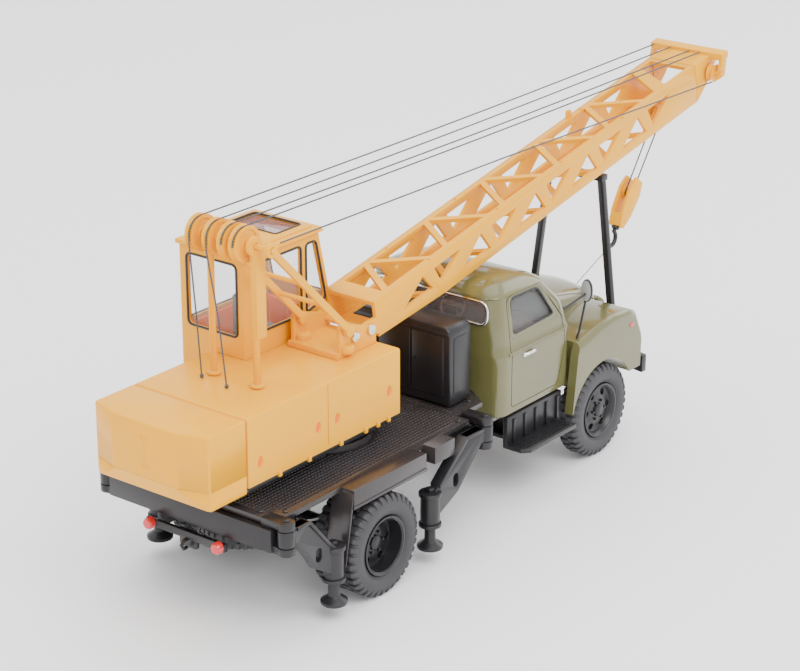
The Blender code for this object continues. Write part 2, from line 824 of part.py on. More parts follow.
def bonnet():
    """Bonnet and both wings in one casting, with the two wheel arches cut out."""
    rear = CAB_X[1] + GAP
    front = BONNET_FRONT - 1.0
    top = BONNET_Z[1]
    outline = [
        (rear, BONNET_Z[0]),
        (front, BONNET_Z[0]),
        (front, top - 5.2),
        (front - 2.4, top - 3.2),
        (rear + 12.0, top - 0.8),
        (rear, top),
    ]
    body = plate("bonnet_and_wings", OLIVE, outline, "XZ", -BONNET_HALF, BONNET_HALF)
    wheel = WHEELBASE
    wing = [
        (rear, 14.0),
        (wheel - 6.0, 14.0),
        (wheel - 6.0, BONNET_Z[0]),
        (wheel + 10.0, BONNET_Z[0]),
        (wheel + 10.8, 17.6),
        (front, 17.6),
        (front, WING_Z - 4.6),
        (front - 1.8, WING_Z - 1.6),
        (wheel + 6.0, WING_Z),
        (wheel - 2.0, WING_Z - 0.4),
        (rear, WING_Z - 3.0),
    ]
    for side, s in SIDES:
        y0, y1 = span(s * (RAIL_Y + RAIL_W / 2 + GAP), s * WING_HALF)
        fuse(body, plate(f"wing_{side}", OLIVE, wing, "XZ", y0, y1))
        y0, y1 = span(s * (CAB_HALF + GAP), s * (WING_HALF - 0.1))
        foot = [(rear + 3.0, 14.1), (rear - 3.6, 14.1), (rear - 0.6, WING_Z - 5.4), (rear + 3.0, WING_Z - 5.4)]
        fuse(body, plate(f"wing_foot_{side}", OLIVE, foot, "XZ", y0, y1))
    for side, s in SIDES:
        y0, y1 = span(s * (FRONT_TRACK_OUT - TYRE_W - 1.2), s * (WING_HALF + 2))
        cut(
            body,
            cylinder(
                f"arch_{side}", OLIVE, (wheel, (y0 + y1) / 2, TYRE_R), ARCH_R, y1 - y0, "Y", 36
            ),
        )
    hollow = box(
        "bonnet_hollow",
        OLIVE,
        (rear + 2.0, -(RAIL_Y + RAIL_W / 2 + GAP), BONNET_Z[0] - 10),
        (front - 2.0, RAIL_Y + RAIL_W / 2 + GAP, BONNET_Z[1] - 7.5),
    )
    cut(body, hollow)
    fuse(body, box("grille_frame", OLIVE, (front - 0.4, -11.6, 22.4), (front + GRILLE_T, 11.6, 31.6)))
    for i in range(5):
        z = 23.6 + i * 1.6
        cut(body, box(f"grille_slot_{i}", OLIVE, (front - 0.2, -10.0, z), (front + 3, 10.0, z + 0.8)))
    return body


def headlamp(side, s):
    x = BONNET_FRONT - 1.0 + GAP
    profile = [(0.0, 2.0), (LAMP_R - 0.5, 1.7), (LAMP_R, 1.3), (LAMP_R, 0.0), (0.0, 0.0)]
    made = turned(f"headlamp_{side}", CHROME, profile[::1], (x, s * LAMP_Y, LAMP_Z), "X", 24)
    return made


def bumper():
    inner = BUMPER_FRONT - 2.2
    right = [
        (BUMPER_FRONT, -BUMPER_HALF + 7.0),
        (BUMPER_FRONT - 1.8, -BUMPER_HALF),
        (inner - 1.4, -BUMPER_HALF),
        (inner, -BUMPER_HALF + 7.0),
    ]
    outline = right + [(x, -y) for x, y in reversed(right)]
    bar = plate("front_bumper", BLACK, outline, "XY", *BUMPER_Z)
    x0 = RAIL_X[1] + GAP
    for side, s in SIDES:
        y0, y1 = span(s * (RAIL_Y - 0.7), s * (RAIL_Y + 0.7))
        fuse(bar, box(f"bumper_iron_{side}", BLACK, (x0, y0, 17.4), (inner + 0.6, y1, 18.6)))
        x, y, top = TOW_EYE
        low = BUMPER_Z[1] - 0.6
        fuse(bar, cylinder(f"tow_eye_{side}", BLACK, (x, s * y, (low + top) / 2), 0.6, top - low, sides=12))
    return bar


def mirror(side, s):
    x, y, z = MIRROR
    y *= s
    oval = [(y + 1.5 * math.cos(t), z + 2.7 * math.sin(t)) for t in (math.tau * i / 20 for i in range(20))]
    glass = plate(f"mirror_{side}", BLACK, oval, "YZ", x - 0.35, x + 0.35)
    wing_top = WING_Z - 3.0 + GAP
    upper = rod(
        f"mirror_arm_upper_{side}",
        BLACK,
        [(CAB_X[1] - 3.2, s * (CAB_HALF - 0.05), BELT_Z + 2.6), (x, y, z - 0.6)],
        0.28,
    )
    lower = rod(
        f"mirror_arm_lower_{side}",
        BLACK,
        [(CAB_X[1] + 1.6, s * (CAB_HALF + 0.6), wing_top + 0.35), (x, y, z - 1.0)],
        0.28,
    )
    fuse(glass, upper, lower)
    return glass


def running_board(side, s):
    y0, y1 = span(s * (CAB_HALF + 0.3), s * BOARD_OUT)
    board = box(f"running_board_{side}", BLACK, (BOARD_X[0], y0, BOARD_Z[0]), (BOARD_X[1], y1, BOARD_Z[1]))
    y0, y1 = span(s * (CAB_HALF - 1.0), s * (CAB_HALF + 0.5))
    riser = box(
        f"board_riser_{side}",
        BLACK,
        (BOARD_X[0], y0, BOARD_Z[0]),
        (BOARD_X[1], y1, CAB_Z[0] - GAP),
    )
    y0, y1 = span(s * (RAIL_Y + RAIL_W / 2 + GAP), s * (CAB_HALF - 0.5))
    strap = box(
        f"board_strap_{side}", BLACK, (BOARD_X[0] + 4, y0, BOARD_Z[0]), (BOARD_X[1] - 4, y1, BOARD_Z[1])
    )
    fuse(board, riser, strap)
    return board


def locker():
    half = LOCKER_HALF
    low, high = LOCKER_Z
    outline = [(-half, low), (half, low), (half, high - 2.0), *arc(half - 2, high - 2, 2, 0, 90, 4)[1:]]
    outline += [*arc(-half + 2, high - 2, 2, 90, 180, 4)[:-1], (-half, high - 2.0)]
    return plate("rear_locker", BLACK, outline, "YZ", *LOCKER_X)


def boom_rest():
    """Two splayed legs on the bumper under a flat saddle."""
    saddle_top = boom_bottom_z(REST_X - 2.6) - 1.5 * GAP
    half = REST_BAR / 2
    saddle = box(
        "boom_rest",
        BLACK,
        (REST_X - 1.2, -REST_TOP_Y - 1.0, saddle_top - 1.4),
        (REST_X + 1.2, REST_TOP_Y + 1.0, saddle_top),
    )
    foot = BUMPER_Z[1] + GAP
    for side, s in SIDES:
        outline = [
            (s * REST_FOOT_Y - half, foot),
            (s * REST_FOOT_Y + half, foot),
            (s * REST_TOP_Y + half, saddle_top - 0.5),
            (s * REST_TOP_Y - half, saddle_top - 0.5),
        ]
        leg = plate(f"rest_leg_{side}", BLACK, outline, "YZ", REST_X - half, REST_X + half)
        y0, y1 = span(s * (REST_FOOT_Y - 1.4), s * (REST_FOOT_Y + 1.4))
        sole = box(f"rest_sole_{side}", BLACK, (REST_X - 1.2, y0, foot), (REST_X + 1.4, y1, foot + 0.9))
        fuse(saddle, leg, sole)
    return saddle


# ---------------------------------------------------------------- turret
def turntable():
    low = RING_Z + GAP
    disc = cylinder(
        "turntable", BLACK, (SLEW_X, 0, (low + FLOOR_Z[1]) / 2), TURNTABLE_R, FLOOR_Z[1] - low, sides=40
    )
    floor = box(
        "turntable_floor",
        BLACK,
        (HOUSE_X[0] + 0.6, -HOUSE_HALF + 0.6, FLOOR_Z[0]),
        (HOUSE_X[1] - 0.4, HOUSE_HALF - 0.6, FLOOR_Z[1]),
    )
    shelf = box(
        "cockpit_shelf",
        BLACK,
        (COCKPIT_X[0] + 0.6, HOUSE_HALF - 2.0, FLOOR_Z[0]),
        (COCKPIT_X[1] - 0.4, COCKPIT_Y[1] - 0.6, FLOOR_Z[1]),
    )
    return fuse(disc, floor, shelf)


def housing_outline(inset):
    """The engine housing in plan, with its front left corner left out for the cockpit."""
    x0, x1 = HOUSE_X[0] + inset, HOUSE_X[1] - inset
    half = HOUSE_HALF - inset
    notch_x, notch_y = COCKPIT_X[0] - GAP - inset, COCKPIT_Y[0] - GAP - inset
    return [(x0, -half), (x1, -half), (x1, notch_y), (notch_x, notch_y), (notch_x, half), (x0, half)]


def housing():
    shell = plate("engine_housing", YELLOW, housing_outline(0.0), "XY", *HOUSE_Z)
    low, high = HOUSE_Z
    inner = plate("housing_hollow", YELLOW, housing_outline(1.0), "XY", low - 2, high - 1.0)
    cut(shell, inner)
    return fuse(shell, *boom_brackets())


def counterweight():
    half, face = HOUSE_HALF, TAIL_FACE_HALF
    front = HOUSE_X[0] - GAP
    outline = [
        (front, -half),
        (front, half),
        (TAIL_CORNER_X, half),
        (TAIL_X, face),
        (TAIL_X, -face),
        (TAIL_CORNER_X, -half),
    ]
    block = plate("counterweight", YELLOW, outline, "XY", TAIL_BOTTOM, HOUSE_Z[1])
    drop = TAIL_CREASE - TAIL_BOTTOM
    wedge = [
        (TAIL_X - 4, TAIL_CREASE),
        (TAIL_X, TAIL_CREASE),
        (TAIL_X + TAIL_TUCK * 1.5, TAIL_BOTTOM - drop * 0.5),
        (TAIL_X - 4, TAIL_BOTTOM - drop * 0.5),
    ]
    return cut(block, plate("tail_tuck", YELLOW, wedge, "XZ", -half - 2, half + 2))


def cockpit_solid(name, finish, inset, floor, ceiling):
    """The operator's cab: upright behind, with a nose that leans out towards the sill."""
    x0, x1 = COCKPIT_X[0] + inset, COCKPIT_X[1] - inset
    y0, y1 = COCKPIT_Y[0] + inset, COCKPIT_Y[1] - inset
    outline = [
        (x0, floor),
        (x1 + COCKPIT_NOSE - 1.0, floor),
        (x1 + COCKPIT_NOSE, SILL_Z),
        (x1 + COCKPIT_NOSE, SILL_Z + 3.0),
        (x1 - 1.0, ceiling),
        (x0, ceiling),
    ]
    return plate(name, finish, outline, "XZ", y0, y1)


def cockpit():
    shell = cockpit_solid("cockpit_shell", YELLOW, 0.0, COCKPIT_Z[0], COCKPIT_Z[1])
    roof = box(
        "cockpit_roof",
        YELLOW,
        (COCKPIT_X[0] - ROOF_LIP, COCKPIT_Y[0] - ROOF_LIP, COCKPIT_Z[1] - 0.3),
        (COCKPIT_X[1] + ROOF_LIP, COCKPIT_Y[1] + ROOF_LIP, COCKPIT_Z[1] + ROOF_T - 0.3),
    )
    fuse(shell, roof)
    cut(shell, cockpit_solid("cockpit_inside", YELLOW, SKIN, COCKPIT_Z[0] - 2, COCKPIT_Z[1] - 0.5))
    low, high = SILL_Z + 0.6, COCKPIT_Z[1] - HEAD_RAIL
    y0, y1 = COCKPIT_Y
    x0, x1 = COCKPIT_X
    rear = box("cockpit_rear_hole", YELLOW, (x0 - 2, y0 + 2.2, low), (x0 + 2, y1 - 2.6, high))
    side = box("cockpit_side_hole", YELLOW, (x0 + 2.6, y0 - 4, low), (x0 + 15.4, y1 + 4, high))
    quarter = [(x0 + 17.6, low + 2), (x1 + COCKPIT_NOSE - 1.6, low + 2), (x1 - 2.0, high), (x0 + 17.6, high)]
    front = box("cockpit_front_hole", YELLOW, (x1 - 4.0, y0 + 1.8, low + 2), (x1 + 8, y1 - 1.8, high - 0.6))
    hatch = box(
        "cockpit_hatch_hole",
        YELLOW,
        (x0 + 5.0, y0 + 3.4, COCKPIT_Z[1] - 3),
        (x0 + 14.0, y1 - 3.4, COCKPIT_Z[1] + 3),
    )
    cut(shell, rear, side, plate("cockpit_quarter_hole", YELLOW, quarter, "XZ", y0 - 4, y1 + 4), front, hatch)
    return shell


def cockpit_glazing():
    skin = SKIN + GAP
    top = COCKPIT_Z[1] - 0.5 - GAP
    outer = cockpit_solid("cockpit_glazing", GLASS, skin, SILL_Z - 1.0, top)
    return cut(outer, cockpit_solid("cockpit_glazing_inside", GLASS, skin + 0.4, SILL_Z - 4.0, top - 0.4))


def cockpit_seat():
    x, y = 4.4, (COCKPIT_Y[0] + COCKPIT_Y[1]) / 2 - 3.0
    base = box("cockpit_seat", GREY, (x - 4.0, y - 3.6, FLOOR_Z[1] + GAP), (x + 3.0, y + 3.6, 48.2))
    back = box("seat_back", GREY, (x - 4.0, y - 3.6, 47.0), (x - 2.2, y + 3.6, 56.0))
    return fuse(base, back)


def boom_brackets():
    """Plinth with the two boom lugs, the pivot pin and the feet of the struts."""
    top = HOUSE_Z[1] - 0.4
    right_y = BOOM_Y - BOOM_HALF - GAP
    left_y = BOOM_Y + BOOM_HALF - BOOM_WALL - GAP
    plinth = box(
        "bracket_plinth", YELLOW, (5.0, right_y - 0.9, top), (17.8, left_y + 0.1, top + 1.7)
    )
    outline = [
        (6.0, top + 0.2),
        (17.6, top + 0.2),
        *arc(PIVOT_X, PIVOT_Z, LUG_R, -20, 110, 6),
        (10.6, 52.2),
        (7.0, 53.4),
        (6.0, 52.6),
    ]
    return (
        plinth,
        plate("bracket_right", YELLOW, outline, "XZ", right_y - 0.9, right_y),
        plate("bracket_left", YELLOW, outline, "XZ", left_y - 0.9, left_y),
        cylinder(
            "pivot_pin",
            YELLOW,
            (PIVOT_X, (right_y - 1.3 + left_y + BOOM_WALL + GAP) / 2, PIVOT_Z),
            PIVOT_PIN_R,
            left_y - right_y + BOOM_WALL + GAP + 1.3,
            "Y",
            16,
        ),
    )


def gantry_post(side, s):
    low = HOUSE_Z[1] + GAP
    y = s * POST_Y
    post = cylinder(
        f"gantry_post_{side}", YELLOW, (GANTRY_X, y, (low + GANTRY_Z) / 2), POST_R, GANTRY_Z - low, sides=12
    )
    cheek = cylinder(f"cheek_{side}", YELLOW, (GANTRY_X, y, GANTRY_Z), 2.0, 1.0, "Y", 20)
    fuse(post, cheek)
    if s < 0:
        upper = box(
            "post_plate", YELLOW, (GANTRY_X - 0.6, y - 0.9, 56.5), (GANTRY_X + 2.2, y + 0.7, GANTRY_Z)
        )
        fuse(post, upper)
    cut(post, cylinder(f"shaft_bore_{side}", YELLOW, (GANTRY_X, y, GANTRY_Z), SHAFT_R + BORE, 9.0, "Y", 20))
    return post


def gantry_strut(side):
    """A bar from the gantry head down to a boom bracket."""
    right_y = BOOM_Y - BOOM_HALF - GAP - 0.9 - GAP
    left_y = BOOM_Y + BOOM_HALF - BOOM_WALL - 3 * GAP - 0.9
    if side == "right":
        y0, y1 = right_y - 1.1, right_y
        top_y = (y0, y1)
    else:
        y0, y1 = left_y - 0.9, left_y
        top_y = (y0, y1)
    dx, dz = 8.0 - GANTRY_X, 52.0 - GANTRY_Z
    length = math.hypot(dx, dz)
    nx, nz = -dz / length * STRUT_T / 2, dx / length * STRUT_T / 2
    outline = [
        (GANTRY_X + nx, GANTRY_Z + nz),
        (GANTRY_X - nx, GANTRY_Z - nz),
        (8.0 - nx, 52.0 - nz),
        (8.0 + nx, 52.0 + nz),
    ]
    bar = plate(f"gantry_strut_{side}", YELLOW, outline, "XZ", y0 + 0.1, y1 - 0.1)
    eye = cylinder(
        f"strut_eye_{side}", YELLOW, (GANTRY_X, sum(top_y) / 2, GANTRY_Z), 1.5, y1 - y0, "Y", 20
    )
    foot = cylinder(f"strut_foot_{side}", YELLOW, (8.0, (y0 + y1) / 2, 52.0), 1.3, y1 - y0, "Y", 20)
    fuse(bar, eye, foot)
    bore = cylinder(
        f"strut_bore_{side}", YELLOW, (GANTRY_X, sum(top_y) / 2, GANTRY_Z), SHAFT_R + BORE, 6.0, "Y", 20
    )
    return cut(bar, bore)


def groove(radius, middle, width):
    """The outline of one sheave on its shaft, from its left face to its right face."""
    half = width / 2
    depth = 3.2 * ROPE_R
    return [
        (SHAFT_R, middle + half),
        (radius, middle + half),
        (radius - depth, middle + half - 0.45),
        (radius - depth, middle - half + 0.45),
        (radius, middle - half),
        (SHAFT_R, middle - half),
    ]


def spool(name, where, left, right, wheels):
    """A shaft from one end to the other with its sheaves on it, turned in one piece."""
    profile = [(SHAFT_R, left)]
    for middle, radius, width in sorted(wheels, reverse=True):
        profile += groove(radius, middle, width)
    profile += [(SHAFT_R, right), (0.0, right), (0.0, left)]
    return turned(name, YELLOW, profile, where, "Y", 16)


def gantry_sheaves():
    right = BOOM_Y - BOOM_HALF - 2 * GAP - 2.0
    left = SHEAVES_Y[0] + SHEAVE_W / 2 + 0.5
    wheels = [(y, SHEAVE_R, SHEAVE_W) for y in SHEAVES_Y]
    return spool("gantry_sheaves", (GANTRY_X, 0, GANTRY_Z), left, right, wheels)


# ---------------------------------------------------------------- boom
def boom_point(u, v):
    """u runs along the upper chords from the foot, v down from them at right angles."""
    c, s = math.cos(BOOM_PITCH), math.sin(BOOM_PITCH)
    return BOOM_FOOT[0] + u * c + v * s, BOOM_FOOT[1] + u * s - v * c


def boom_depth(u):
    share = min(max(u / BASE_RISE, 0.0), 1.0)
    return BOOM_DEPTH[0] + (BOOM_DEPTH[1] - BOOM_DEPTH[0]) * share


def boom_bottom_z(x):
    """Height of the boom's underside above a place on X."""
    u = (x - BOOM_FOOT[0] - BOOM_DEPTH[1] * math.sin(BOOM_PITCH)) / math.cos(BOOM_PITCH)
    return boom_point(u, boom_depth(u))[1]


def boom_profile(inset, start, end):
    us = [start, BASE_RISE, end]
    upper = [boom_point(u, inset) for u in us]
    lower = [boom_point(u, boom_depth(u) - inset) for u in us]
    return upper + lower[::-1]


def side_windows():
    """Corners of the openings in the boom's side plates, as (u, v) lists."""
    made = []
    top = SIDE_BAND
    for i in range(BAYS):
        a = SIDE_START + i * BAY
        low = boom_depth(a) - SIDE_BAND
        if a + BAY * 0.5 < BOOM_LENGTH - SOLID_TIP - 4:
            made.append([(a, low), (a + BAY * 0.36, top), (a + BAY * 0.5, low)])
        if a + BAY < BOOM_LENGTH - SOLID_TIP:
            made.append([(a + BAY * 0.55, top), (a + BAY * 0.64, low), (a + BAY, top)])
    return made


def top_windows():
    """Corners of the openings between the zigzag laths, as (u, y) lists."""
    left, right = BOOM_HALF - CHORD, -BOOM_HALF + CHORD
    node = SOLID_FOOT + BAY * 0.4
    lean, bar = BAY * 0.31, LACING * 1.22
    made = [[(SOLID_FOOT, right), (SOLID_FOOT, left), (node - bar, left)]]
    for i in range(BAYS):
        a = node + i * BAY
        made.append([(a - lean, right), (a, left), (a + lean, right)])
        made.append(
            [(a + bar, left), (a + bar + lean, right), (a + BAY - bar - lean, right), (a + BAY - bar, left)]
        )
    return made


def boom():
    y0, y1 = BOOM_Y - BOOM_HALF, BOOM_Y + BOOM_HALF
    body = plate("boom_lattice", YELLOW, boom_profile(0.0, 0.0, BOOM_LENGTH), "XZ", y0, y1)
    hollow = plate(
        "boom_hollow",
        YELLOW,
        boom_profile(BOOM_WALL, -5.0, BOOM_LENGTH + 5.0),
        "XZ",
        y0 + BOOM_WALL,
        y1 - BOOM_WALL,
    )
    cut(body, hollow)
    # side windows run through both walls
    for i, corners in enumerate(side_windows()):
        outline = [boom_point(u, v) for u, v in corners]
        cut(body, plate(f"side_window_{i}", YELLOW, outline, "XZ", y0 - 2, y1 + 2))
    # upper and lower windows are cut square to the chords
    x, z = boom_point(0, 0)
    turn = Matrix.Translation(place(x, BOOM_Y, z)) @ Matrix.Rotation(-BOOM_PITCH, 4, "Y")
    for i, corners in enumerate(top_windows()):
        tool = plate(f"top_window_{i}", YELLOW, corners, "XY", -14.0, 4.0)
        tool.matrix_world = turn @ Matrix.Translation((0, 0, -5 * MM))
        cut(body, tool)
    # the end is open on top only
    tip = BOOM_LENGTH - 1.6
    edge = BOOM_HALF - CHORD
    corners = [(tip - 10.0, -edge), (tip - 4.6, edge), (tip, edge), (tip, -edge)]
    tool = plate("tip_window", YELLOW, corners, "XY", -3.0, 4.0)
    tool.matrix_world = turn @ Matrix.Translation((0, 0, 0.5 * MM))
    cut(body, tool)
    # foot lugs round the pivot pin
    x_foot = boom_point(1.5, 0)[0]
    for side, (a, b) in (("right", (y0, y0 + BOOM_WALL)), ("left", (y1 - BOOM_WALL, y1))):
        foot_low = boom_point(0.6, BOOM_DEPTH[0] - 0.6)
        foot_high = boom_point(0.6, BOOM_DEPTH[0] * 0.45)
        outline = [*arc(PIVOT_X, PIVOT_Z, LUG_R, 100, 270, 8), (foot_low[0], foot_low[1]), (x_foot, foot_high[1])]
        fuse(body, plate(f"foot_lug_{side}", YELLOW, outline, "XZ", a, b))
    bore = cylinder("pivot_bore", YELLOW, (PIVOT_X, BOOM_Y, PIVOT_Z), PIVOT_PIN_R + BORE, 30, "Y", 16)
    cut(body, bore)
    # slot and cheeks for the hoist sheave under the boom's end
    reach = HOIST_SHEAVE_R + 3 * GAP
    corners = [(HOIST_U - 6.5, 6.0), (HOIST_U + reach, 6.0), (HOIST_U + reach, 14.0), (HOIST_U - 6.5, 14.0)]
    outline = [boom_point(u, v) for u, v in corners]
    inner, outer = HOIST_CHEEK
    cut(body, plate("hoist_slot", YELLOW, outline, "XZ", BOOM_Y - inner, BOOM_Y + inner))
    corners = [
        (HOIST_U - 3.4, BOOM_DEPTH[1] - 0.7),
        (HOIST_U + 3.4, BOOM_DEPTH[1] - 0.7),
        (HOIST_U + 1.4, HOIST_V + 1.2),
        (HOIST_U - 1.4, HOIST_V + 1.2),
    ]
    outline = [boom_point(u, v) for u, v in corners]
    for side, s in SIDES:
        a, b = span(BOOM_Y + s * inner, BOOM_Y + s * outer)
        fuse(body, plate(f"hoist_cheek_{side}", YELLOW, outline, "XZ", a, b))
    x, z = hoist_point()
    return cut(body, cylinder("hoist_bore", YELLOW, (x, BOOM_Y, z), SHAFT_R + BORE, 6, "Y", 16))


def tilt(made, x, z):
    """Turns an object that was modelled along X into the boom's pitch about one point."""
    bpy.context.view_layer.update()
    pivot = Matrix.Translation(place(x, 0, z))
    turn = Matrix.Rotation(-BOOM_PITCH, 4, "Y")
    made.matrix_world = pivot @ turn @ pivot.inverted() @ made.matrix_world
    return made


def boom_head():
    """Cheeks that carry the boom's head bar, the outer sheaves and the hoist sheave."""
    start, end = BOOM_LENGTH + GAP, BOOM_LENGTH + HEAD_REACH
    corners = [(start, 0.0), (end, 0.0), (end, HEAD_LIP), (end - 4.5, 6.2), (start, BOOM_DEPTH[1])]
    outline = [boom_point(u, v) for u, v in corners]
    y0, y1 = BOOM_Y - BOOM_HALF, BOOM_Y + BOOM_HALF
    head = plate("boom_head", YELLOW, outline, "XZ", y0, y1)
    inside = [boom_point(u, v) for u, v in [(start - 2, 1.0), (end - 1.0, 1.0), (end - 1, 12), (start - 2, 12)]]
    cut(head, plate("head_hollow", YELLOW, inside, "XZ", y0 + 1.0, y1 - 1.0))
    x, z = boom_point(end - 2.0, 0.0)
    bar = box(
        "head_bar", YELLOW, (x - 1.4, BOOM_Y - HEAD_BAR_HALF, z - 0.9), (x + 1.4, BOOM_Y + HEAD_BAR_HALF, z + 0.8)
    )
    tilt(bar, x, z)
    sx, sz = boom_point(end - 4.2, 4.0)
    pieces = [bar]
    for side, s in SIDES:
        y = BOOM_Y + s * HEAD_BAR_HALF
        a, b = span(y, y - s * 0.9)
        corners = [(end - 3.2, 0.4), (end - 1.0, 0.4), (end - 2.6, 5.0), (end - 5.4, 5.0)]
        pieces.append(
            plate(f"outer_cheek_{side}", YELLOW, [boom_point(u, v) for u, v in corners], "XZ", a, b)
        )
    fuse(head, *pieces)
    bore = cylinder("head_bore", YELLOW, (sx, BOOM_Y, sz), SHAFT_R + BORE, 30, "Y", 16)
    return cut(head, bore)


def head_sheaves():
    """Two sheaves outside the head's cheeks, on one pin through both."""
    end = BOOM_LENGTH + HEAD_REACH
    x, z = boom_point(end - 4.2, 4.0)
    reach = HEAD_BAR_HALF + 0.2
    offset = BOOM_HALF + 1.3
    wheels = [(offset, HEAD_SHEAVE_R, 1.4), (-offset, HEAD_SHEAVE_R, 1.4)]
    return spool("head_sheaves", (x, BOOM_Y, z), reach, -reach, wheels)


def hoist_point():
    return boom_point(HOIST_U, HOIST_V)


def hoist_sheave():
    """The middle sheave the hook's rope runs over, between the boom's lower chords."""
    x, z = hoist_point()
    reach = HOIST_CHEEK[1] + GAP
    return spool("hoist_sheave", (x, BOOM_Y, z), reach, -reach, [(0.0, HOIST_SHEAVE_R, 1.6)])


# ---------------------------------------------------------------- hook
def fall_point(distance, across=0.0):
    """A place on the line from the hoist sheave down to the hook."""
    x, z = hoist_point()
    dx, dz = -math.sin(FALL_TILT), -math.cos(FALL_TILT)
    return x + dx * distance - dz * across, z + dz * distance + dx * across


def hook_block():
    top, bottom = FALL_LENGTH - BLOCK_HEAD, FALL_LENGTH - BLOCK_HEAD + BLOCK_LENGTH
    corners = [
        (top, -1.6),
        (top + 3.2, -2.7),
        (bottom - 3.5, -2.2),
        (bottom, -0.9),
        (bottom, 0.9),
        (bottom - 3.5, 2.2),
        (top + 3.2, 2.7),
        (top, 1.6),
    ]
    outline = [fall_point(d, a) for d, a in corners]
    half = BLOCK_W / 2
    block = plate("hook_block", YELLOW, outline, "XZ", BOOM_Y - half, BOOM_Y + half)
    gap = [fall_point(d, a) for d, a in [(top - 2, -4), (bottom - 3.0, -4), (bottom - 3.0, 4), (top - 2, 4)]]
    slot = plate("block_slot", YELLOW, gap, "XZ", BOOM_Y - half + CHEEK_T, BOOM_Y + half - CHEEK_T)
    x, z = fall_point(FALL_LENGTH)
    cut(block, slot)
    width = BLOCK_W - 2 * CHEEK_T - 0.3
    profile = groove(BLOCK_SHEAVE_R, 0.0, width)[1:5] + [(0.0, -width / 2), (0.0, width / 2)]
    wheel = turned("block_wheel", YELLOW, profile, (x, BOOM_Y, z), "Y", 20)
    axle = cylinder("block_axle", YELLOW, (x, BOOM_Y, z), 0.8, BLOCK_W, "Y", 16)
    fuse(block, wheel, axle)
    x, z = fall_point(bottom - 0.8)
    neck = cylinder("hook_neck_bore", YELLOW, (x, BOOM_Y, z), 0.6 + BORE, 6.0, "Z", 16)
    neck.rotation_euler = (0.0, FALL_TILT, 0.0)
    return cut(block, neck)


def hook():
    """A shank that turns in the block and a round open hook."""
    start = FALL_LENGTH - BLOCK_HEAD + BLOCK_LENGTH
    across = [(start - 2.3, 0.0), (start + 1.4, 0.0)]
    centre = start + 1.4 + HOOK_R
    for i in range(1, 11):
        angle = math.radians(90 - 27 * i)
        across.append((centre - HOOK_R * math.sin(angle), HOOK_R * math.cos(angle)))
    points = [fall_point(d, a) for d, a in across]
    return rod("hook", BLACK, [(x, BOOM_Y, z) for x, z in points], 0.55, 2)


# ---------------------------------------------------------------- ropes
def rope_over_sheave(name, sheave_y, head, tail_foot):
    """From a tail on the housing, over the back and top of a gantry sheave, and on to the head."""
    lie = SHEAVE_R - 3.2 * ROPE_R + ROPE_R + 0.1
    x0, z0 = GANTRY_X, GANTRY_Z
    points = []
    if tail_foot is not None:
        points.append(tail_foot)
        points.append((x0 - lie, sheave_y, z0 - 2.0))
    slope = math.atan2(head[2] - z0, head[0] - x0)
    for i in range(9):
        angle = math.pi - (math.pi / 2 - slope) * i / 8
        points.append((x0 + lie * math.cos(angle), sheave_y, z0 + lie * math.sin(angle)))
    points.append(head)
    return rod(name, CORD, points, ROPE_R, 1)


def ropes():
    end = BOOM_LENGTH + HEAD_REACH
    back, under = boom_point(end - 3.4 - GAP, -0.45)
    low = HOUSE_Z[1] + GAP
    ends = [
        ("luffing_rope_1", SHEAVES_Y[0], (back, 7.6, under), (GANTRY_X - 3.2, 6.2, low)),
        ("luffing_rope_2", SHEAVES_Y[1], (back, 2.9, under), (GANTRY_X - 4.2, -1.4, low)),
        ("luffing_rope_3", SHEAVES_Y[2], (back, -2.6, under), None),
        ("luffing_rope_4", SHEAVES_Y[3], (back, -5.4, under), None),
    ]
    made = [rope_over_sheave(*entry) for entry in ends]
    sheave_x, sheave_z = boom_point(end - 4.2, 4.0 + HEAD_SHEAVE_R - 2 * ROPE_R)
    start = (GANTRY_X + 2.4, BOOM_Y - BOOM_HALF - 1.3 - 1.0, GANTRY_Z + 1.0)
    goal = (sheave_x - 0.6, BOOM_Y - BOOM_HALF - 1.3, sheave_z - 0.5)
    made.append(rod("luffing_rope_5", CORD, [start, goal], ROPE_R, 1))
    return made


def hoist_rope():
    """One rope in two falls, round the sheave in the block."""
    reach = HOIST_SHEAVE_R - 3.2 * ROPE_R + ROPE_R + 0.1
    low = BLOCK_SHEAVE_R - 3.2 * ROPE_R + ROPE_R + 0.1
    points = [fall_point(1.0, reach)]
    for i in range(9):
        angle = math.pi * i / 8
        points.append(fall_point(FALL_LENGTH + low * math.sin(angle), low * math.cos(angle)))
    points.append(fall_point(1.0, -reach))
    return rod("hoist_rope", CORD, [(x, BOOM_Y, z) for x, z in points], ROPE_R, 1)


def tie_thread():
    start = FALL_LENGTH - BLOCK_HEAD + BLOCK_LENGTH + 1.4 + 2 * HOOK_R
    x, z = fall_point(start + 0.9)
    anchor = (TOW_EYE[0], TOW_EYE[1], TOW_EYE[2] + 2 * GAP)
    return rod("tie_thread", CORD, [(x, BOOM_Y, z), anchor], 0.12, 1)


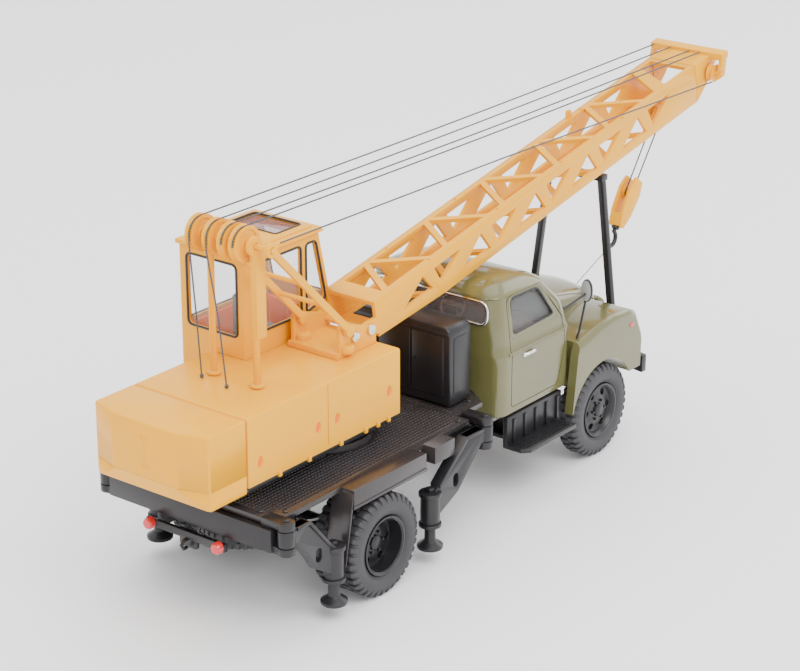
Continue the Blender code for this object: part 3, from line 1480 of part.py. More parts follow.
# ---------------------------------------------------------------- assembly
def build():
    chassis_frame()
    deck()
    rear_axle()
    spare_wheel()
    tail_lamps()
    cab()
    cab_glazing()
    cab_interior()
    bonnet()
    bumper()
    locker()
    boom_rest()
    for side, s in SIDES:
        headlamp(side, s)
        mirror(side, s)
        running_board(side, s)

    front = wheel_set("front", WHEELBASE, FRONT_TRACK_OUT, TYRE_W, 1.0, 0.0)
    hang("front_wheels_axis", (WHEELBASE, 0, TYRE_R), front)
    rear = wheel_set("rear", 0.0, REAR_TRACK_OUT, PAIR_W, 3.6, 1.6)
    hang("rear_wheels_axis", (0, 0, TYRE_R), rear)

    for end, x, direction, length in (
        ("rear", REAR_BEAM_X, 1, REAR_ARM),
        ("front", FRONT_BEAM_X, -1, FRONT_ARM),
    ):
        for side, s in SIDES:
            arm, jack = outrigger(f"outrigger_{end}_{side}", x, s, direction, length)
            hinge = hang(f"{end}_{side}_hinge_axis", (x, s * HINGE_Y, ARM_Z[0]), [arm])
            slide = (x + direction * length, s * HINGE_Y, PAD_Z[0])
            hang(f"{end}_{side}_jack_axis", slide, [jack], hinge)

    turret = [turntable(), housing(), counterweight(), cockpit(), cockpit_glazing(), cockpit_seat()]
    turret += [gantry_strut("right"), gantry_strut("left")]
    turret += [gantry_post(side, s) for side, s in SIDES]
    slew = hang("slew_axis", (SLEW_X, 0, RING_Z), turret)
    hang("gantry_shaft_axis", (GANTRY_X, 0, GANTRY_Z), [gantry_sheaves()], slew)

    luff = hang("boom_pivot_axis", (PIVOT_X, BOOM_Y, PIVOT_Z), [boom(), boom_head(), *ropes()], slew)
    x, z = boom_point(BOOM_LENGTH + HEAD_REACH - 4.2, 4.0)
    hang("head_sheave_axis", (x, BOOM_Y, z), [head_sheaves()], luff)
    x, z = hoist_point()
    hang("hoist_sheave_axis", (x, BOOM_Y, z), [hoist_sheave()], luff)
    x, z = fall_point(FALL_LENGTH)
    block = hang("hook_block_axis", (x, BOOM_Y, z), [hook_block(), hoist_rope(), tie_thread()], luff)
    x, z = fall_point(FALL_LENGTH - BLOCK_HEAD + BLOCK_LENGTH)
    hang("hook_swivel_axis", (x, BOOM_Y, z), [hook()], block)


build()
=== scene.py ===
import math

import bmesh
import bpy
from mathutils import Matrix, Vector


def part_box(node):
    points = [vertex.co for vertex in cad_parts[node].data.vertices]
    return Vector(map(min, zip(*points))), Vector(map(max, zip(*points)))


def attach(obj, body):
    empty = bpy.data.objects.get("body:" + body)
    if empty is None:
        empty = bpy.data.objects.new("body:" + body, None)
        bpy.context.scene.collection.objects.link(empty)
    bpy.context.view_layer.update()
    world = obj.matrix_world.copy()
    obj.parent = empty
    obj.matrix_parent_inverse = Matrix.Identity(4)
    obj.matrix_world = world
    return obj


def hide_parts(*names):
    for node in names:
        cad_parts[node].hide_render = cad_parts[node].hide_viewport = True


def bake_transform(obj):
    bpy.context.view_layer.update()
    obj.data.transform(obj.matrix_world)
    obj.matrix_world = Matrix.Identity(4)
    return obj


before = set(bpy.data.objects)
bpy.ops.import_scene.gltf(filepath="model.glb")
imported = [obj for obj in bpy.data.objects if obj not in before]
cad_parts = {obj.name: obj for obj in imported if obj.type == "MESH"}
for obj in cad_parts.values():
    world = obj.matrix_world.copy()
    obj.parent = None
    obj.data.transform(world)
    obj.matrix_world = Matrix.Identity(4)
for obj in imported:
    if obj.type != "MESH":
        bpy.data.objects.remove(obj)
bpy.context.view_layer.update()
pinLow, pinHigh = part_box("rear_wheel_pin")
rearAxleX = (pinLow[0] + pinHigh[0]) / 2
sides = (("left", 1), ("right", -1))
mm = 0.001
slewX = 9.2  # the crane turns about this place


def at(x, y, z):  # millimetres from the rear axle, as a place in the frame
    return Vector((rearAxleX + x * mm, y * mm, z * mm))


# finishes
class Value:
    def __init__(self, finish, socket):
        self.finish = finish
        self.socket = socket

    def math(self, operation, other):
        return self.finish.add("Math", {"operation": operation}, [self, other])[0]

    def __add__(self, other):
        return self.math("ADD", other)

    def __mul__(self, other):
        return self.math("MULTIPLY", other)

    def __sub__(self, other):
        return self.math("SUBTRACT", other)


class Finish:
    def __init__(self, name, colour, roughness, **steady):
        self.material = bpy.data.materials.new(name)
        self.material.use_nodes = True
        self.material.diffuse_color = (*colour, 1)
        self.tree = self.material.node_tree
        self.shader = self.tree.nodes["Principled BSDF"]
        self.feed("Base Color", (*colour, 1))
        self.feed("Roughness", roughness)
        for socket, value in steady.items():
            self.feed(socket.replace("_", " "), value)
        self.colour = colour

    def feed(self, socket, value):
        target = self.shader.inputs[socket]
        if isinstance(value, Value):
            self.tree.links.new(value.socket, target)
        else:
            target.default_value = value

    def add(self, kind, settings=None, values=None):
        node = self.tree.nodes.new("ShaderNode" + kind)
        for key, value in (settings or {}).items():
            if key == "stops":
                ramp = node.color_ramp
                while len(ramp.elements) < len(value):
                    ramp.elements.new(0.5)
                for element, (place, tone) in zip(ramp.elements, value):
                    element.position = place
                    element.color = (*tone, 1)
            else:
                setattr(node, key, value)
        pairs = values.items() if isinstance(values, dict) else enumerate(values or [])
        for key, value in pairs:
            if isinstance(value, Value):
                self.tree.links.new(value.socket, node.inputs[key])
            else:
                node.inputs[key].default_value = value
        return [Value(self, socket) for socket in node.outputs]

    def place(self):
        return self.add("TexCoord")[3]

    def noise(self, scale, detail=3.0, stretch=None):
        where = self.place()
        if stretch:
            where = self.add("Mapping", values={"Vector": where, "Scale": stretch})[0]
        return self.add("TexNoise", values={"Vector": where, "Scale": scale, "Detail": detail})[0]

    def tones(self, mask, dark, light):
        darker = tuple(c * dark for c in self.colour)
        lighter = tuple(min(1, c * light) for c in self.colour)
        stops = [(0.3, darker), (0.7, lighter)]
        self.feed("Base Color", self.add("ValToRGB", {"stops": stops}, [mask])[0])

    def relief(self, height, strength, distance):
        values = {"Height": height, "Strength": strength, "Distance": distance}
        self.feed("Normal", self.add("Bump", values=values)[0])


def mouldedFinish(name, colour, look):
    made = Finish(name, colour, look["roughness"], **look.get("steady", {}))
    cloud = made.noise(look.get("cloud", 55), 2)
    grain = made.noise(look.get("grain", 2600), 2)
    made.tones(cloud, look.get("dark", 0.94), look.get("light", 1.05))
    made.feed("Roughness", (cloud - 0.5) * look.get("patch", 0.12) + look["roughness"])
    made.relief(grain, look.get("bump", 0.12), 0.00004)
    return made.material


def cordFinish(name, colour):
    made = Finish(name, colour, 0.75)
    wave = {"Vector": made.place(), "Scale": 900, "Distortion": 0.4}
    twist = made.add("TexWave", {"bands_direction": "DIAGONAL"}, wave)[1]
    made.tones(twist, 0.6, 1.5)
    made.relief(twist, 0.5, 0.00006)
    return made.material


def metalFinish(name, colour, roughness, brushed):
    made = Finish(name, colour, roughness, Metallic=1.0)
    hair = made.noise(700, 2, (1, 12, 12) if brushed else (1, 1, 1))
    made.feed("Roughness", (hair - 0.5) * 0.14 + roughness)
    made.relief(hair, 0.06, 0.00003)
    return made.material


def glassFinish(name, colour, alpha):
    made = Finish(name, colour, 0.04, Alpha=alpha, IOR=1.5)
    haze = made.noise(140, 2)
    made.feed("Roughness", haze * 0.05 + 0.02)
    return made.material


dull, coated = {"Specular_IOR_Level": 0.2}, {"Coat_Weight": 0.5}
moulded = {  # colour, then what differs from a plain moulding
    "craneYellow": (
        (0.86, 0.385, 0.0),
        {"roughness": 0.3, "light": 1.03, "dark": 0.96, "bump": 0.06, "steady": dull},
    ),
    # painted shade: a deeper orange that stands in for the shade inside the cockpit and inside the hand cups
    "craneShadeOrange": ((0.9, 0.16, 0.0), {"roughness": 0.5, "bump": 0.1, "steady": dull}),
    "satinBlack": (
        (0.013, 0.012, 0.014),
        {"roughness": 0.34, "dark": 0.8, "light": 1.35, "bump": 0.2, "steady": {"Specular_IOR_Level": 0.4}},
    ),
    "chequerBlack": (
        (0.03, 0.025, 0.026),
        {"roughness": 0.26, "dark": 0.8, "light": 1.3, "bump": 0.25},
    ),
    "olivePaint": (
        (0.12, 0.113, 0.04),
        {"roughness": 0.2, "cloud": 70, "bump": 0.05, "patch": 0.06, "steady": coated},
    ),
    "tyreRubber": (
        (0.035, 0.033, 0.037),
        {"roughness": 0.62, "dark": 0.8, "light": 1.25, "bump": 0.45, "grain": 1800},
    ),
    "cabBrown": ((0.17, 0.06, 0.03), {"roughness": 0.5, "bump": 0.3}),
    "seatGrey": ((0.13, 0.13, 0.14), {"roughness": 0.6, "bump": 0.4}),
    "gasketBlack": ((0.02, 0.02, 0.02), {"roughness": 0.5, "bump": 0.2}),
    "mirrorFace": ((0.3, 0.31, 0.3), {"roughness": 0.3}),
    "lampRed": ((0.62, 0.02, 0.025), {"roughness": 0.15, "steady": {"Coat_Weight": 0.6}}),
    "lampClear": ((0.8, 0.82, 0.82), {"roughness": 0.08, "steady": {"Coat_Weight": 0.8}}),
}
paints = {name: mouldedFinish(name, *row) for name, row in moulded.items()}
paints["brightTrim"] = metalFinish("brightTrim", (0.86, 0.86, 0.87), 0.14, False)
paints["boltSteel"] = metalFinish("boltSteel", (0.75, 0.74, 0.73), 0.28, True)
paints["clearWindow"] = glassFinish("clearWindow", (0.75, 0.78, 0.8), 0.08)
paints["tintedHatch"] = glassFinish("tintedHatch", (0.35, 0.17, 0.17), 0.5)
paints["cordGrey"] = cordFinish("cordGrey", (0.07, 0.068, 0.072))
print("finishes ready:", len(paints))


# workbench
def only(obj):
    bpy.ops.object.select_all(action="DESELECT")
    obj.select_set(True)
    bpy.context.view_layer.objects.active = obj


def added(name):
    made = bpy.context.active_object
    made.name = name
    made.data.name = name
    only(made)
    return made


def settle(obj):
    only(obj)
    bpy.ops.object.transform_apply(location=True, rotation=True, scale=True)
    return obj


def edit(obj, *steps):  # runs edit mode steps with everything selected
    only(obj)
    bpy.ops.object.mode_set(mode="EDIT")
    bpy.ops.mesh.select_mode(type="VERT")
    bpy.ops.mesh.select_all(action="SELECT")
    for step in steps:
        step()
    bpy.ops.object.mode_set(mode="OBJECT")
    return obj


def mend(obj, distance=1e-7):
    return edit(
        obj,
        lambda: bpy.ops.mesh.remove_doubles(threshold=distance),
        lambda: bpy.ops.mesh.normals_make_consistent(inside=False),
    )


def change(obj, kind, **settings):
    modifier = obj.modifiers.new(kind, kind)
    for key, value in settings.items():
        setattr(modifier, key, value)
    only(obj)
    bpy.ops.object.modifier_apply(modifier=modifier.name)
    return obj


def soften(obj, width=0.2, segments=2, angle=32):
    return change(
        obj,
        "BEVEL",
        width=width * mm,
        segments=segments,
        limit_method="ANGLE",
        angle_limit=math.radians(angle),
        use_clamp_overlap=True,
        harden_normals=False,
    )


def smooth(obj, angle=38):
    only(obj)
    bpy.ops.object.shade_smooth_by_angle(angle=math.radians(angle))
    return obj


def pick(obj, mode, wanted, step):  # runs one edit mode step on what wanted finds in the mesh
    only(obj)
    bpy.ops.object.mode_set(mode="EDIT")
    bpy.ops.mesh.select_mode(type=mode)
    bpy.ops.mesh.select_all(action="DESELECT")
    mesh = bmesh.from_edit_mesh(obj.data)
    for found in wanted(mesh):
        found.select = True
    bmesh.update_edit_mesh(obj.data)
    step()
    bpy.ops.object.mode_set(mode="OBJECT")
    return obj


def bevelWhere(obj, test, width, segments=4):  # bevels only the edges whose ends pass the test
    settings = {"offset": width * mm, "segments": segments, "profile": 0.5, "affect": "EDGES"}

    def passing(mesh):
        for edge in mesh.edges:
            ends = [((v.co.x - rearAxleX) * 1000, v.co.y * 1000, v.co.z * 1000) for v in edge.verts]
            if all(test(*end) for end in ends):
                yield edge

    return pick(obj, "EDGE", passing, lambda: bpy.ops.mesh.bevel(clamp_overlap=True, **settings))


def block(name, low, high, bevel=0.0):
    a, b = at(*low), at(*high)
    bpy.ops.mesh.primitive_cube_add(size=1, location=(a + b) / 2)
    made = added(name)
    made.scale = b - a
    settle(made)
    return soften(made, bevel) if bevel else made


def span(side, near, far):  # two distances from the middle plane as places, the lower one first
    return sorted((side * near, side * far))


def sideBlock(name, side, x, y, z, bevel=0.0):
    low, high = span(side, *y)
    return block(name, (x[0], low, z[0]), (x[1], high, z[1]), bevel)


def repeated(obj, count, step):
    settings = {"use_relative_offset": False, "use_constant_offset": True}
    return change(obj, "ARRAY", count=count, constant_offset_displace=step, **settings)


def ball(name, place, scale):
    bpy.ops.mesh.primitive_uv_sphere_add(segments=24, ring_count=12, radius=mm, location=at(*place))
    made = added(name)
    made.scale = scale
    return settle(made)


turns = {"X": (0, math.pi / 2, 0), "Y": (-math.pi / 2, 0, 0), "Z": (0, 0, 0)}
axes = {"X": (1, 0, 0), "Y": (0, 1, 0), "Z": (0, 0, 1)}


def rod(name, centre, radius, length, axis="Z", sides=32, bevel=0.0):
    size = {"vertices": sides, "radius": radius * mm, "depth": length * mm}
    bpy.ops.mesh.primitive_cylinder_add(location=at(*centre), rotation=turns[axis], **size)
    made = settle(added(name))
    return soften(made, bevel, 2, 50) if bevel else made


def spread(name, points, closed=True):  # a ring of points, one for each place given
    bpy.ops.mesh.primitive_circle_add(vertices=len(points), fill_type="NGON" if closed else "NOTHING")
    made = settle(added(name))
    for vertex, point in zip(made.data.vertices, points):
        vertex.co = point
    return made


def slab(name, outline, plane, low, high, bevel=0.0, segments=2):
    lift = {"XY": (0, 0, 1), "XZ": (0, 1, 0), "YZ": (1, 0, 0)}[plane]
    lay = {
        "XY": lambda a, b: at(a, b, low),
        "XZ": lambda a, b: at(a, low, b),
        "YZ": lambda a, b: at(low, a, b),
    }[plane]
    made = spread(name, [lay(a, b) for a, b in outline])
    move = tuple(way * (high - low) * mm for way in lift)
    edit(made, lambda: bpy.ops.mesh.extrude_region_move(TRANSFORM_OT_translate={"value": move}))
    mend(made)
    return soften(made, bevel, segments) if bevel else made


def turned(name, profile, centre, axis="Y", steps=48):  # profile is (radius, distance along the axis)
    way = {
        "X": lambda r, h: Vector((h, 0, r)),
        "Y": lambda r, h: Vector((0, h, r)),
        "Z": lambda r, h: Vector((r, 0, h)),
    }[axis]
    middle = at(*centre)
    made = spread(name, [middle + way(r, h) * mm for r, h in profile], False)
    spin = {"steps": steps, "angle": math.tau, "center": middle, "axis": axes[axis]}
    edit(made, lambda: bpy.ops.mesh.spin(**spin))
    return smooth(mend(made, 2e-7))


def circled(obj, count, centre, axis):  # copies the mesh round an axis
    spin = {"steps": count - 1, "angle": math.tau * (count - 1) / count, "axis": axes[axis]}
    return edit(obj, lambda: bpy.ops.mesh.spin(dupli=True, center=at(*centre), **spin))


def strand(name, points, radius, resolution=3, closed=False):
    curve = bpy.data.curves.new(name, "CURVE")
    curve.dimensions = "3D"
    curve.bevel_depth = radius * mm
    curve.bevel_resolution = resolution
    curve.use_fill_caps = True
    spline = curve.splines.new("POLY")
    spline.points.add(len(points) - 1)
    for point, place in zip(spline.points, points):
        point.co = (*at(*place), 1)
    spline.use_cyclic_u = closed
    made = bpy.data.objects.new(name, curve)
    bpy.context.collection.objects.link(made)
    only(made)
    bpy.ops.object.convert(target="MESH")
    return smooth(mend(added(name)), 60)


def loft(name, rings, caps=True):  # a skin through rings of equal count, each ring closed
    columns, rows = len(rings[0]) + 1, len(rings)
    bpy.ops.mesh.primitive_grid_add(x_subdivisions=columns - 1, y_subdivisions=rows - 1, size=1)
    made = settle(added(name))
    for vertex in made.data.vertices:
        column = round((vertex.co.x + 0.5) * (columns - 1)) % (columns - 1)
        row = round((vertex.co.y + 0.5) * (rows - 1))
        vertex.co = at(*rings[row][column])
    mend(made, 1e-8)
    if caps:
        only(made)
        bpy.ops.object.mode_set(mode="EDIT")
        bpy.ops.mesh.select_all(action="DESELECT")
        bpy.ops.mesh.select_non_manifold()
        bpy.ops.mesh.fill_holes(sides=0)
        bpy.ops.object.mode_set(mode="OBJECT")
        mend(made, 1e-8)
    return made


def weld(name, *pieces):  # several meshes kept as one object
    only(pieces[0])
    for piece in pieces:
        piece.select_set(True)
    bpy.ops.object.join()
    return added(name)


def carve(obj, *tools, operation="DIFFERENCE"):
    for tool in tools:
        change(obj, "BOOLEAN", operation=operation, solver="EXACT", object=tool)
        bpy.data.objects.remove(tool, do_unlink=True)
    return obj


def copied(node, name, width=0.2, segments=2):  # a CAD solid with its edges rounded
    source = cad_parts[node]
    made = source.copy()
    made.data = source.data.copy()
    bpy.context.collection.objects.link(made)
    made.parent = None
    made.matrix_world = Matrix.Identity(4)
    made.name = name
    made.data.materials.clear()
    edit(
        made,
        lambda: bpy.ops.mesh.remove_doubles(threshold=2e-6),
        lambda: bpy.ops.mesh.dissolve_limited(angle_limit=math.radians(0.6)),
    )
    if width:
        soften(made, width, segments, 30)
    return smooth(made, 34)


def dress(obj, paint, body, nodes=()):
    obj.data.materials.clear()
    obj.data.materials.append(paints[paint])
    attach(obj, body)
    if nodes:
        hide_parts(*nodes)
    return obj


def arc(a, b, radius, start, end, count):
    turnsTo = [math.radians(start + (end - start) * i / count) for i in range(count + 1)]
    return [(a + radius * math.cos(t), b + radius * math.sin(t)) for t in turnsTo]


def roundedBox(a0, b0, a1, b1, radius, count=5):
    corners = (
        (a1 - radius, b1 - radius, 0),
        (a0 + radius, b1 - radius, 90),
        (a0 + radius, b0 + radius, 180),
        (a1 - radius, b0 + radius, 270),
    )
    return [point for a, b, start in corners for point in arc(a, b, radius, start, start + 90, count)]


def roundedOutline(points, radius, count=4):  # a polygon with each corner turned to an arc
    made = []
    for i, corner in enumerate(points):
        here = Vector(corner)
        before, after = Vector(points[i - 1]) - here, Vector(points[(i + 1) % len(points)]) - here
        reach = min(radius, before.length * 0.45, after.length * 0.45)
        start, end = here + before.normalized() * reach, here + after.normalized() * reach
        for step in range(count + 1):
            t = step / count
            spot = start * (1 - t) ** 2 + here * 2 * t * (1 - t) + end * t**2
            made.append((spot.x, spot.y))
    return made


def hexNut(name, centre, radius, height, axis):
    return rod(name, centre, radius, height, axis, 6, 0.08)


# wheels
tyre = {"radius": 11.1, "lugs": 36, "lugLength": 1.05, "bead": 6.55}


def tyreSkin(name, x, middle, half):
    r = tyre["radius"]
    side = [(r - 0.55, half * 0.62), (r - 0.95, half * 0.86), (r - 1.7, half * 0.97), (r - 2.7, half)]
    side += [(r - 3.6, half * 0.95), (r - 3.9, half * 0.86), (r - 4.1, half * 0.9)]
    side.append((tyre["bead"], half * 0.72))
    profile = [(r - 0.45, 0.0), *side, *[(a, -b) for a, b in reversed(side)]]
    carcass = turned(name, profile, (x, middle, r), "Y", 60)
    pieces = [carcass]
    for row, way in ((0, 1), (1, -1)):
        outline = [(0.15, r - 0.6), (0.15, r), (half * 0.7, r - 0.02), (half * 0.93, r - 0.75)]
        outline += [(half * 1.0, r - 1.4), (half * 0.9, r - 1.6), (half * 0.5, r - 0.9)]
        points = [(middle + way * a, r + b) for a, b in outline]
        length = tyre["lugLength"]
        lug = slab("lug", points, "YZ", x - length / 2, x + length / 2, 0.12, 1)
        if row:
            lug.data.transform(
                Matrix.Translation(at(x, middle, r))
                @ Matrix.Rotation(math.pi / tyre["lugs"], 4, "Y")
                @ Matrix.Translation(-at(x, middle, r))
            )
        pieces.append(circled(lug, tyre["lugs"], (x, middle, r), "Y"))
    return weld(name, *pieces)


wheel = {"rim": 6.4, "holes": 6, "holeRadius": 0.85, "holeRing": 4.35, "nuts": 6, "nutRing": 2.3}


def wheelDisc(name, x, side, outer, width, dish):
    r, face, back = wheel["rim"], outer - dish, outer - width + 0.4
    centre = (x, 0, tyre["radius"])
    bowl = [(r, outer - 0.35), (r, back), (r - 0.7, back), (r - 0.7, face - 0.9)]
    bowl += [(3.4, face - 1.0), (0.0, face - 1.0), (0.0, face + 0.9), (1.2, face + 0.9), (1.6, face + 0.6)]
    bowl += [(1.7, face + 0.1), (3.1, face + 0.1), (3.6, face - 0.1), (4.9, face - 0.35), (5.3, face - 0.2)]
    bowl += [(r - 0.75, outer - 0.6), (r - 0.4, outer - 0.3)]
    disc = turned(name, [(a, side * b) for a, b in bowl], centre, "Y", 48)
    holePlace = (x + wheel["holeRing"], side * (face - 0.6), tyre["radius"])
    hole = rod("hole", holePlace, wheel["holeRadius"], 3, "Y", 16)
    carve(disc, circled(hole, wheel["holes"], centre, "Y"))
    nutPlace = (x + wheel["nutRing"], side * (face + 0.3), tyre["radius"])
    nuts = circled(hexNut("nuts", nutPlace, 0.36, 0.7, "Y"), wheel["nuts"], centre, "Y")
    return smooth(weld(name, disc, nuts))


frontWheel = {"x": 86.0, "outer": 21.6, "half": 2.8, "width": 5.4, "dish": 1.3}
rearWheel = {"x": 0.0, "outer": 26.2, "half": 2.7, "inner": 8.9, "width": 11.2, "dish": 3.4}
for label, side in sides:
    x, outer, half = frontWheel["x"], frontWheel["outer"], frontWheel["half"]
    skin = tyreSkin(f"frontTyre_{label}", x, side * (outer - half), half)
    dress(skin, "tyreRubber", "front_wheels", [f"front_tyre_{label}"])
    disc = wheelDisc(f"frontRim_{label}", x, side, outer, frontWheel["width"], frontWheel["dish"])
    dress(disc, "satinBlack", "front_wheels", [f"front_rim_{label}"])
    x, outer, half = rearWheel["x"], rearWheel["outer"], rearWheel["half"]
    pair = weld(
        f"rearTyres_{label}",
        tyreSkin("outerTyre", x, side * (outer - half), half),
        tyreSkin("innerTyre", x, side * (outer - rearWheel["inner"]), half),
    )
    dress(pair, "tyreRubber", "rear_wheels", [f"rear_tyre_{label}"])
    disc = wheelDisc(f"rearRim_{label}", x, side, outer, rearWheel["width"], rearWheel["dish"])
    dress(disc, "satinBlack", "rear_wheels", [f"rear_rim_{label}"])
for end in ("front", "rear"):
    pin = copied(f"{end}_wheel_pin", f"{end}Pin", 0.1)
    dress(pin, "boltSteel", f"{end}_wheels", [f"{end}_wheel_pin"])
print("wheels done")

# truck cab
cab = {
    "levels": (  # height, rear, front, half width, corner radius
        (20.5, 48.9, 75.6, 18.7, 2.2),
        (20.9, 48.5, 75.9, 19.2, 2.5),
        (24.0, 48.4, 76.0, 19.4, 2.6),
        (33.6, 48.4, 76.0, 19.4, 2.6),
        (34.6, 48.4, 76.0, 19.45, 2.6),
        (35.2, 48.4, 76.0, 19.3, 2.6),
        (35.8, 48.45, 75.9, 18.9, 2.6),
        (38.0, 48.5, 75.4, 18.7, 2.7),
        (41.0, 48.6, 74.4, 18.35, 2.8),
        (42.2, 48.7, 73.4, 18.2, 2.9),
        (44.0, 48.8, 71.6, 17.9, 3.0),
        (47.6, 49.0, 68.0, 17.3, 3.2),
        (48.0, 48.8, 67.9, 17.6, 3.3),
        (48.4, 49.0, 67.4, 17.3, 3.3),
        (49.3, 49.9, 66.0, 16.3, 3.6),
        (50.1, 51.5, 63.8, 14.4, 3.8),
        (50.6, 53.8, 61.4, 11.6, 3.2),
        (50.8, 56.0, 59.5, 7.0, 1.6),
    ),
    "sideWindow": ((54.0, 38.9), (69.9, 39.3), (64.6, 46.9), (54.3, 46.9)),
    "door": ((52.6, 22.2), (52.6, 47.4), (65.4, 47.5), (72.8, 38.0), (73.0, 30.0), (70.6, 22.2)),
    "doorMiddle": (62.8, 34.8),
    "seam": 0.22,
    "doorFrame": ((53.2, 38.0), (71.6, 38.4), (65.3, 47.5), (53.5, 47.5)),
    "handle": ((57.4, 19.5, 33.6), (57.6, 20.0, 33.7), (60.0, 20.1, 33.8), (60.6, 19.9, 33.7)),
}


def cabRing(level, inset):
    z, rear, front, half, radius = level
    outline = roundedBox(rear + inset, inset - half, front - inset, half - inset, radius, 4)
    return [(x, y, z) for x, y in outline]


def sideAt(z):  # half the cab's width above its waist
    return 18.9 - (z - 35.8) * 0.135


def tumbled(tool, depth):  # leans a cutter's inner wall with the cab's side
    for vertex in tool.data.vertices:
        z, y = vertex.co.z * 1000, vertex.co.y * 1000
        half = 19.4 if z < 35 else sideAt(z)
        if abs(y) < 19.4:
            vertex.co.y = math.copysign((half - depth) * mm, y)
    return tool


def roofEdges(mesh):
    return [e for e in mesh.edges if e.is_boundary and all(v.co.z > 0.045 for v in e.verts)]


cabBody = loft("truckCab", [cabRing(level, 0) for level in cab["levels"]], False)
pick(cabBody, "VERT", roofEdges, bpy.ops.mesh.edge_face_add)
mend(cabBody)
change(cabBody, "SOLIDIFY", thickness=0.0007, offset=-1, use_even_offset=False)
doorLine = roundedOutline(cab["door"], 1.2)
windowLine = roundedOutline(cab["sideWindow"], 1.3)
middleX, middleZ = cab["doorMiddle"]
shrunk = [
    (x - math.copysign(cab["seam"], x - middleX), z - math.copysign(cab["seam"], z - middleZ))
    for x, z in doorLine
]
for label, side in sides:
    carve(cabBody, slab("hole", windowLine, "XZ", *span(side, 15, 21)))
    ring = slab("seam", doorLine, "XZ", *span(side, 19.0, 21))
    inner = slab("seamInside", shrunk, "XZ", *span(side, 15, 22))
    carve(cabBody, carve(tumbled(ring, 0.3), inner))
carve(cabBody, slab("rearHole", roundedBox(-15.4, 41.9, 15.4, 47.0, 1.9), "YZ", 46, 53))
carve(cabBody, slab("screenHole", roundedBox(-15.4, 43.2, 15.4, 47.4, 1.6), "YZ", 60, 80))
carve(cabBody, block("railTunnel", (46, -9.4, 15), (78, 9.4, 22.0)))
smooth(cabBody, 30)
dress(cabBody, "olivePaint", "chassis", ["cab_shell"])

glassLevels = [level for level in cab["levels"] if 37.9 < level[0] < 48.1]
glass = loft("truckGlass", [cabRing(level, 0.8) for level in glassLevels], False)
change(glass, "SOLIDIFY", thickness=0.0004, offset=-1, use_even_offset=False)
dress(smooth(glass), "clearWindow", "chassis", ["cab_glazing"])
rearTrim = [(48.62 + (z - 44.4) * 0.04, y, z) for y, z in roundedBox(-15.5, 41.8, 15.5, 47.1, 2.0)]
trims = [strand("trim", rearTrim, 0.3, 2, True)]
frameLine = roundedOutline(cab["doorFrame"], 1.6)
for label, side in sides:
    sealLine = [(x, side * (sideAt(z) - 0.1), z) for x, z in windowLine]
    seal = strand(f"doorSeal_{label}", sealLine, 0.26, 2, True)
    dress(seal, "gasketBlack", "chassis")
    pressed = [(x, side * (sideAt(z) - 0.02), z) for x, z in frameLine]
    fold = [(x, side * 19.36, 35.0 + (x - 50) * 0.004) for x in (51.6, 56, 62, 68, 72.6)]
    bits = [strand("frame", pressed, 0.22, 2, True), strand("fold", fold, 0.3, 2)]
    dress(weld(f"doorFolds_{label}", *bits), "olivePaint", "chassis")
    trims.append(strand("handle", [(x, side * y, z) for x, y, z in cab["handle"]], 0.36, 3))
    trims.append(rod("handleBoss", (57.2, side * 19.6, 33.6), 0.55, 0.5, "Y", 20, 0.1))
dress(smooth(weld("cabTrim", *trims), 50), "brightTrim", "chassis")
dress(copied("cab_interior", "cabInside", 0.25), "cabBrown", "chassis", ["cab_interior"])
print("truck cab done")

# bonnet and wings
bonnet = {
    "stations": (  # place along the truck, half width, top, shoulder drop
        (75.2, 11.4, 39.8, 4.4),
        (78.0, 11.3, 39.7, 4.4),
        (84.0, 11.0, 39.0, 4.4),
        (90.0, 10.7, 38.0, 4.4),
        (95.0, 10.4, 36.9, 4.3),
        (98.6, 10.1, 35.6, 4.2),
        (100.6, 9.8, 34.1, 3.6),
        (101.5, 9.4, 32.2, 2.6),
    ),
    "floor": 27.0,
}


def bonnetRing(x, half, top, drop):
    crown = []
    for i in range(13):
        t = math.pi * i / 12
        crown.append((half * math.cos(t), top - drop + drop * math.sin(t) ** 0.8))
    return [(x, y, z) for y, z in [(half, bonnet["floor"]), *crown, (-half, bonnet["floor"])]]


hood = loft("bonnet", [bonnetRing(*station) for station in bonnet["stations"]])
smooth(hood, 40)
wing = {
    "profile": (
        (73.4, 14.2),
        (78.0, 14.2),
        (78.0, 17.6),
        (96.8, 17.6),
        (101.4, 17.6),
        (101.6, 24.0),
        (101.2, 28.6),
        (99.6, 31.8),
        (96.0, 33.3),
        (90.0, 33.5),
        (84.0, 32.7),
        (79.0, 31.4),
        (76.3, 30.7),
        (75.2, 28.4),
    ),
    "arch": 12.7,
    "lip": 12.75,
    "ridge": ((77.2, 28.4), (84.0, 30.0), (90.0, 30.7), (95.0, 30.4), (98.4, 28.8)),
}
wings = [hood]
lip = arc(frontWheel["x"], tyre["radius"], wing["lip"], 31, 163, 28)
for label, side in sides:
    made = slab("wing", wing["profile"], "XZ", *span(side, 9.3, 21.9))
    bevelWhere(made, lambda x, y, z: abs(y) > 21.8 and z > 25.5 and x > 75.8, 3.4, 8)
    wheelMiddle = (frontWheel["x"], side * 17.5, tyre["radius"])
    carve(made, rod("arch", wheelMiddle, wing["arch"], 12.6, "Y", 72))
    carve(made, sideBlock("behindWing", side, (70, 76.3), (0, 19.7), (10, 40)))
    wings += [smooth(made, 34), strand("archLip", [(x, side * 21.7, z) for x, z in lip], 0.24, 2)]
    wings.append(strand("ridge", [(x, side * 21.68, z) for x, z in wing["ridge"]], 0.26, 2))
face = slab("faceFrame", roundedBox(-11.4, 22.4, 11.4, 32.0, 2.4), "YZ", 100.6, 102.2, 0.3)
for i in range(5):
    carve(face, block("slot", (101.4, -9.8, 23.8 + i * 1.55), (104, 9.8, 24.6 + i * 1.55)))
wings.append(smooth(face))
dress(weld("bonnetAndWings", *wings), "olivePaint", "chassis", ["bonnet_and_wings"])
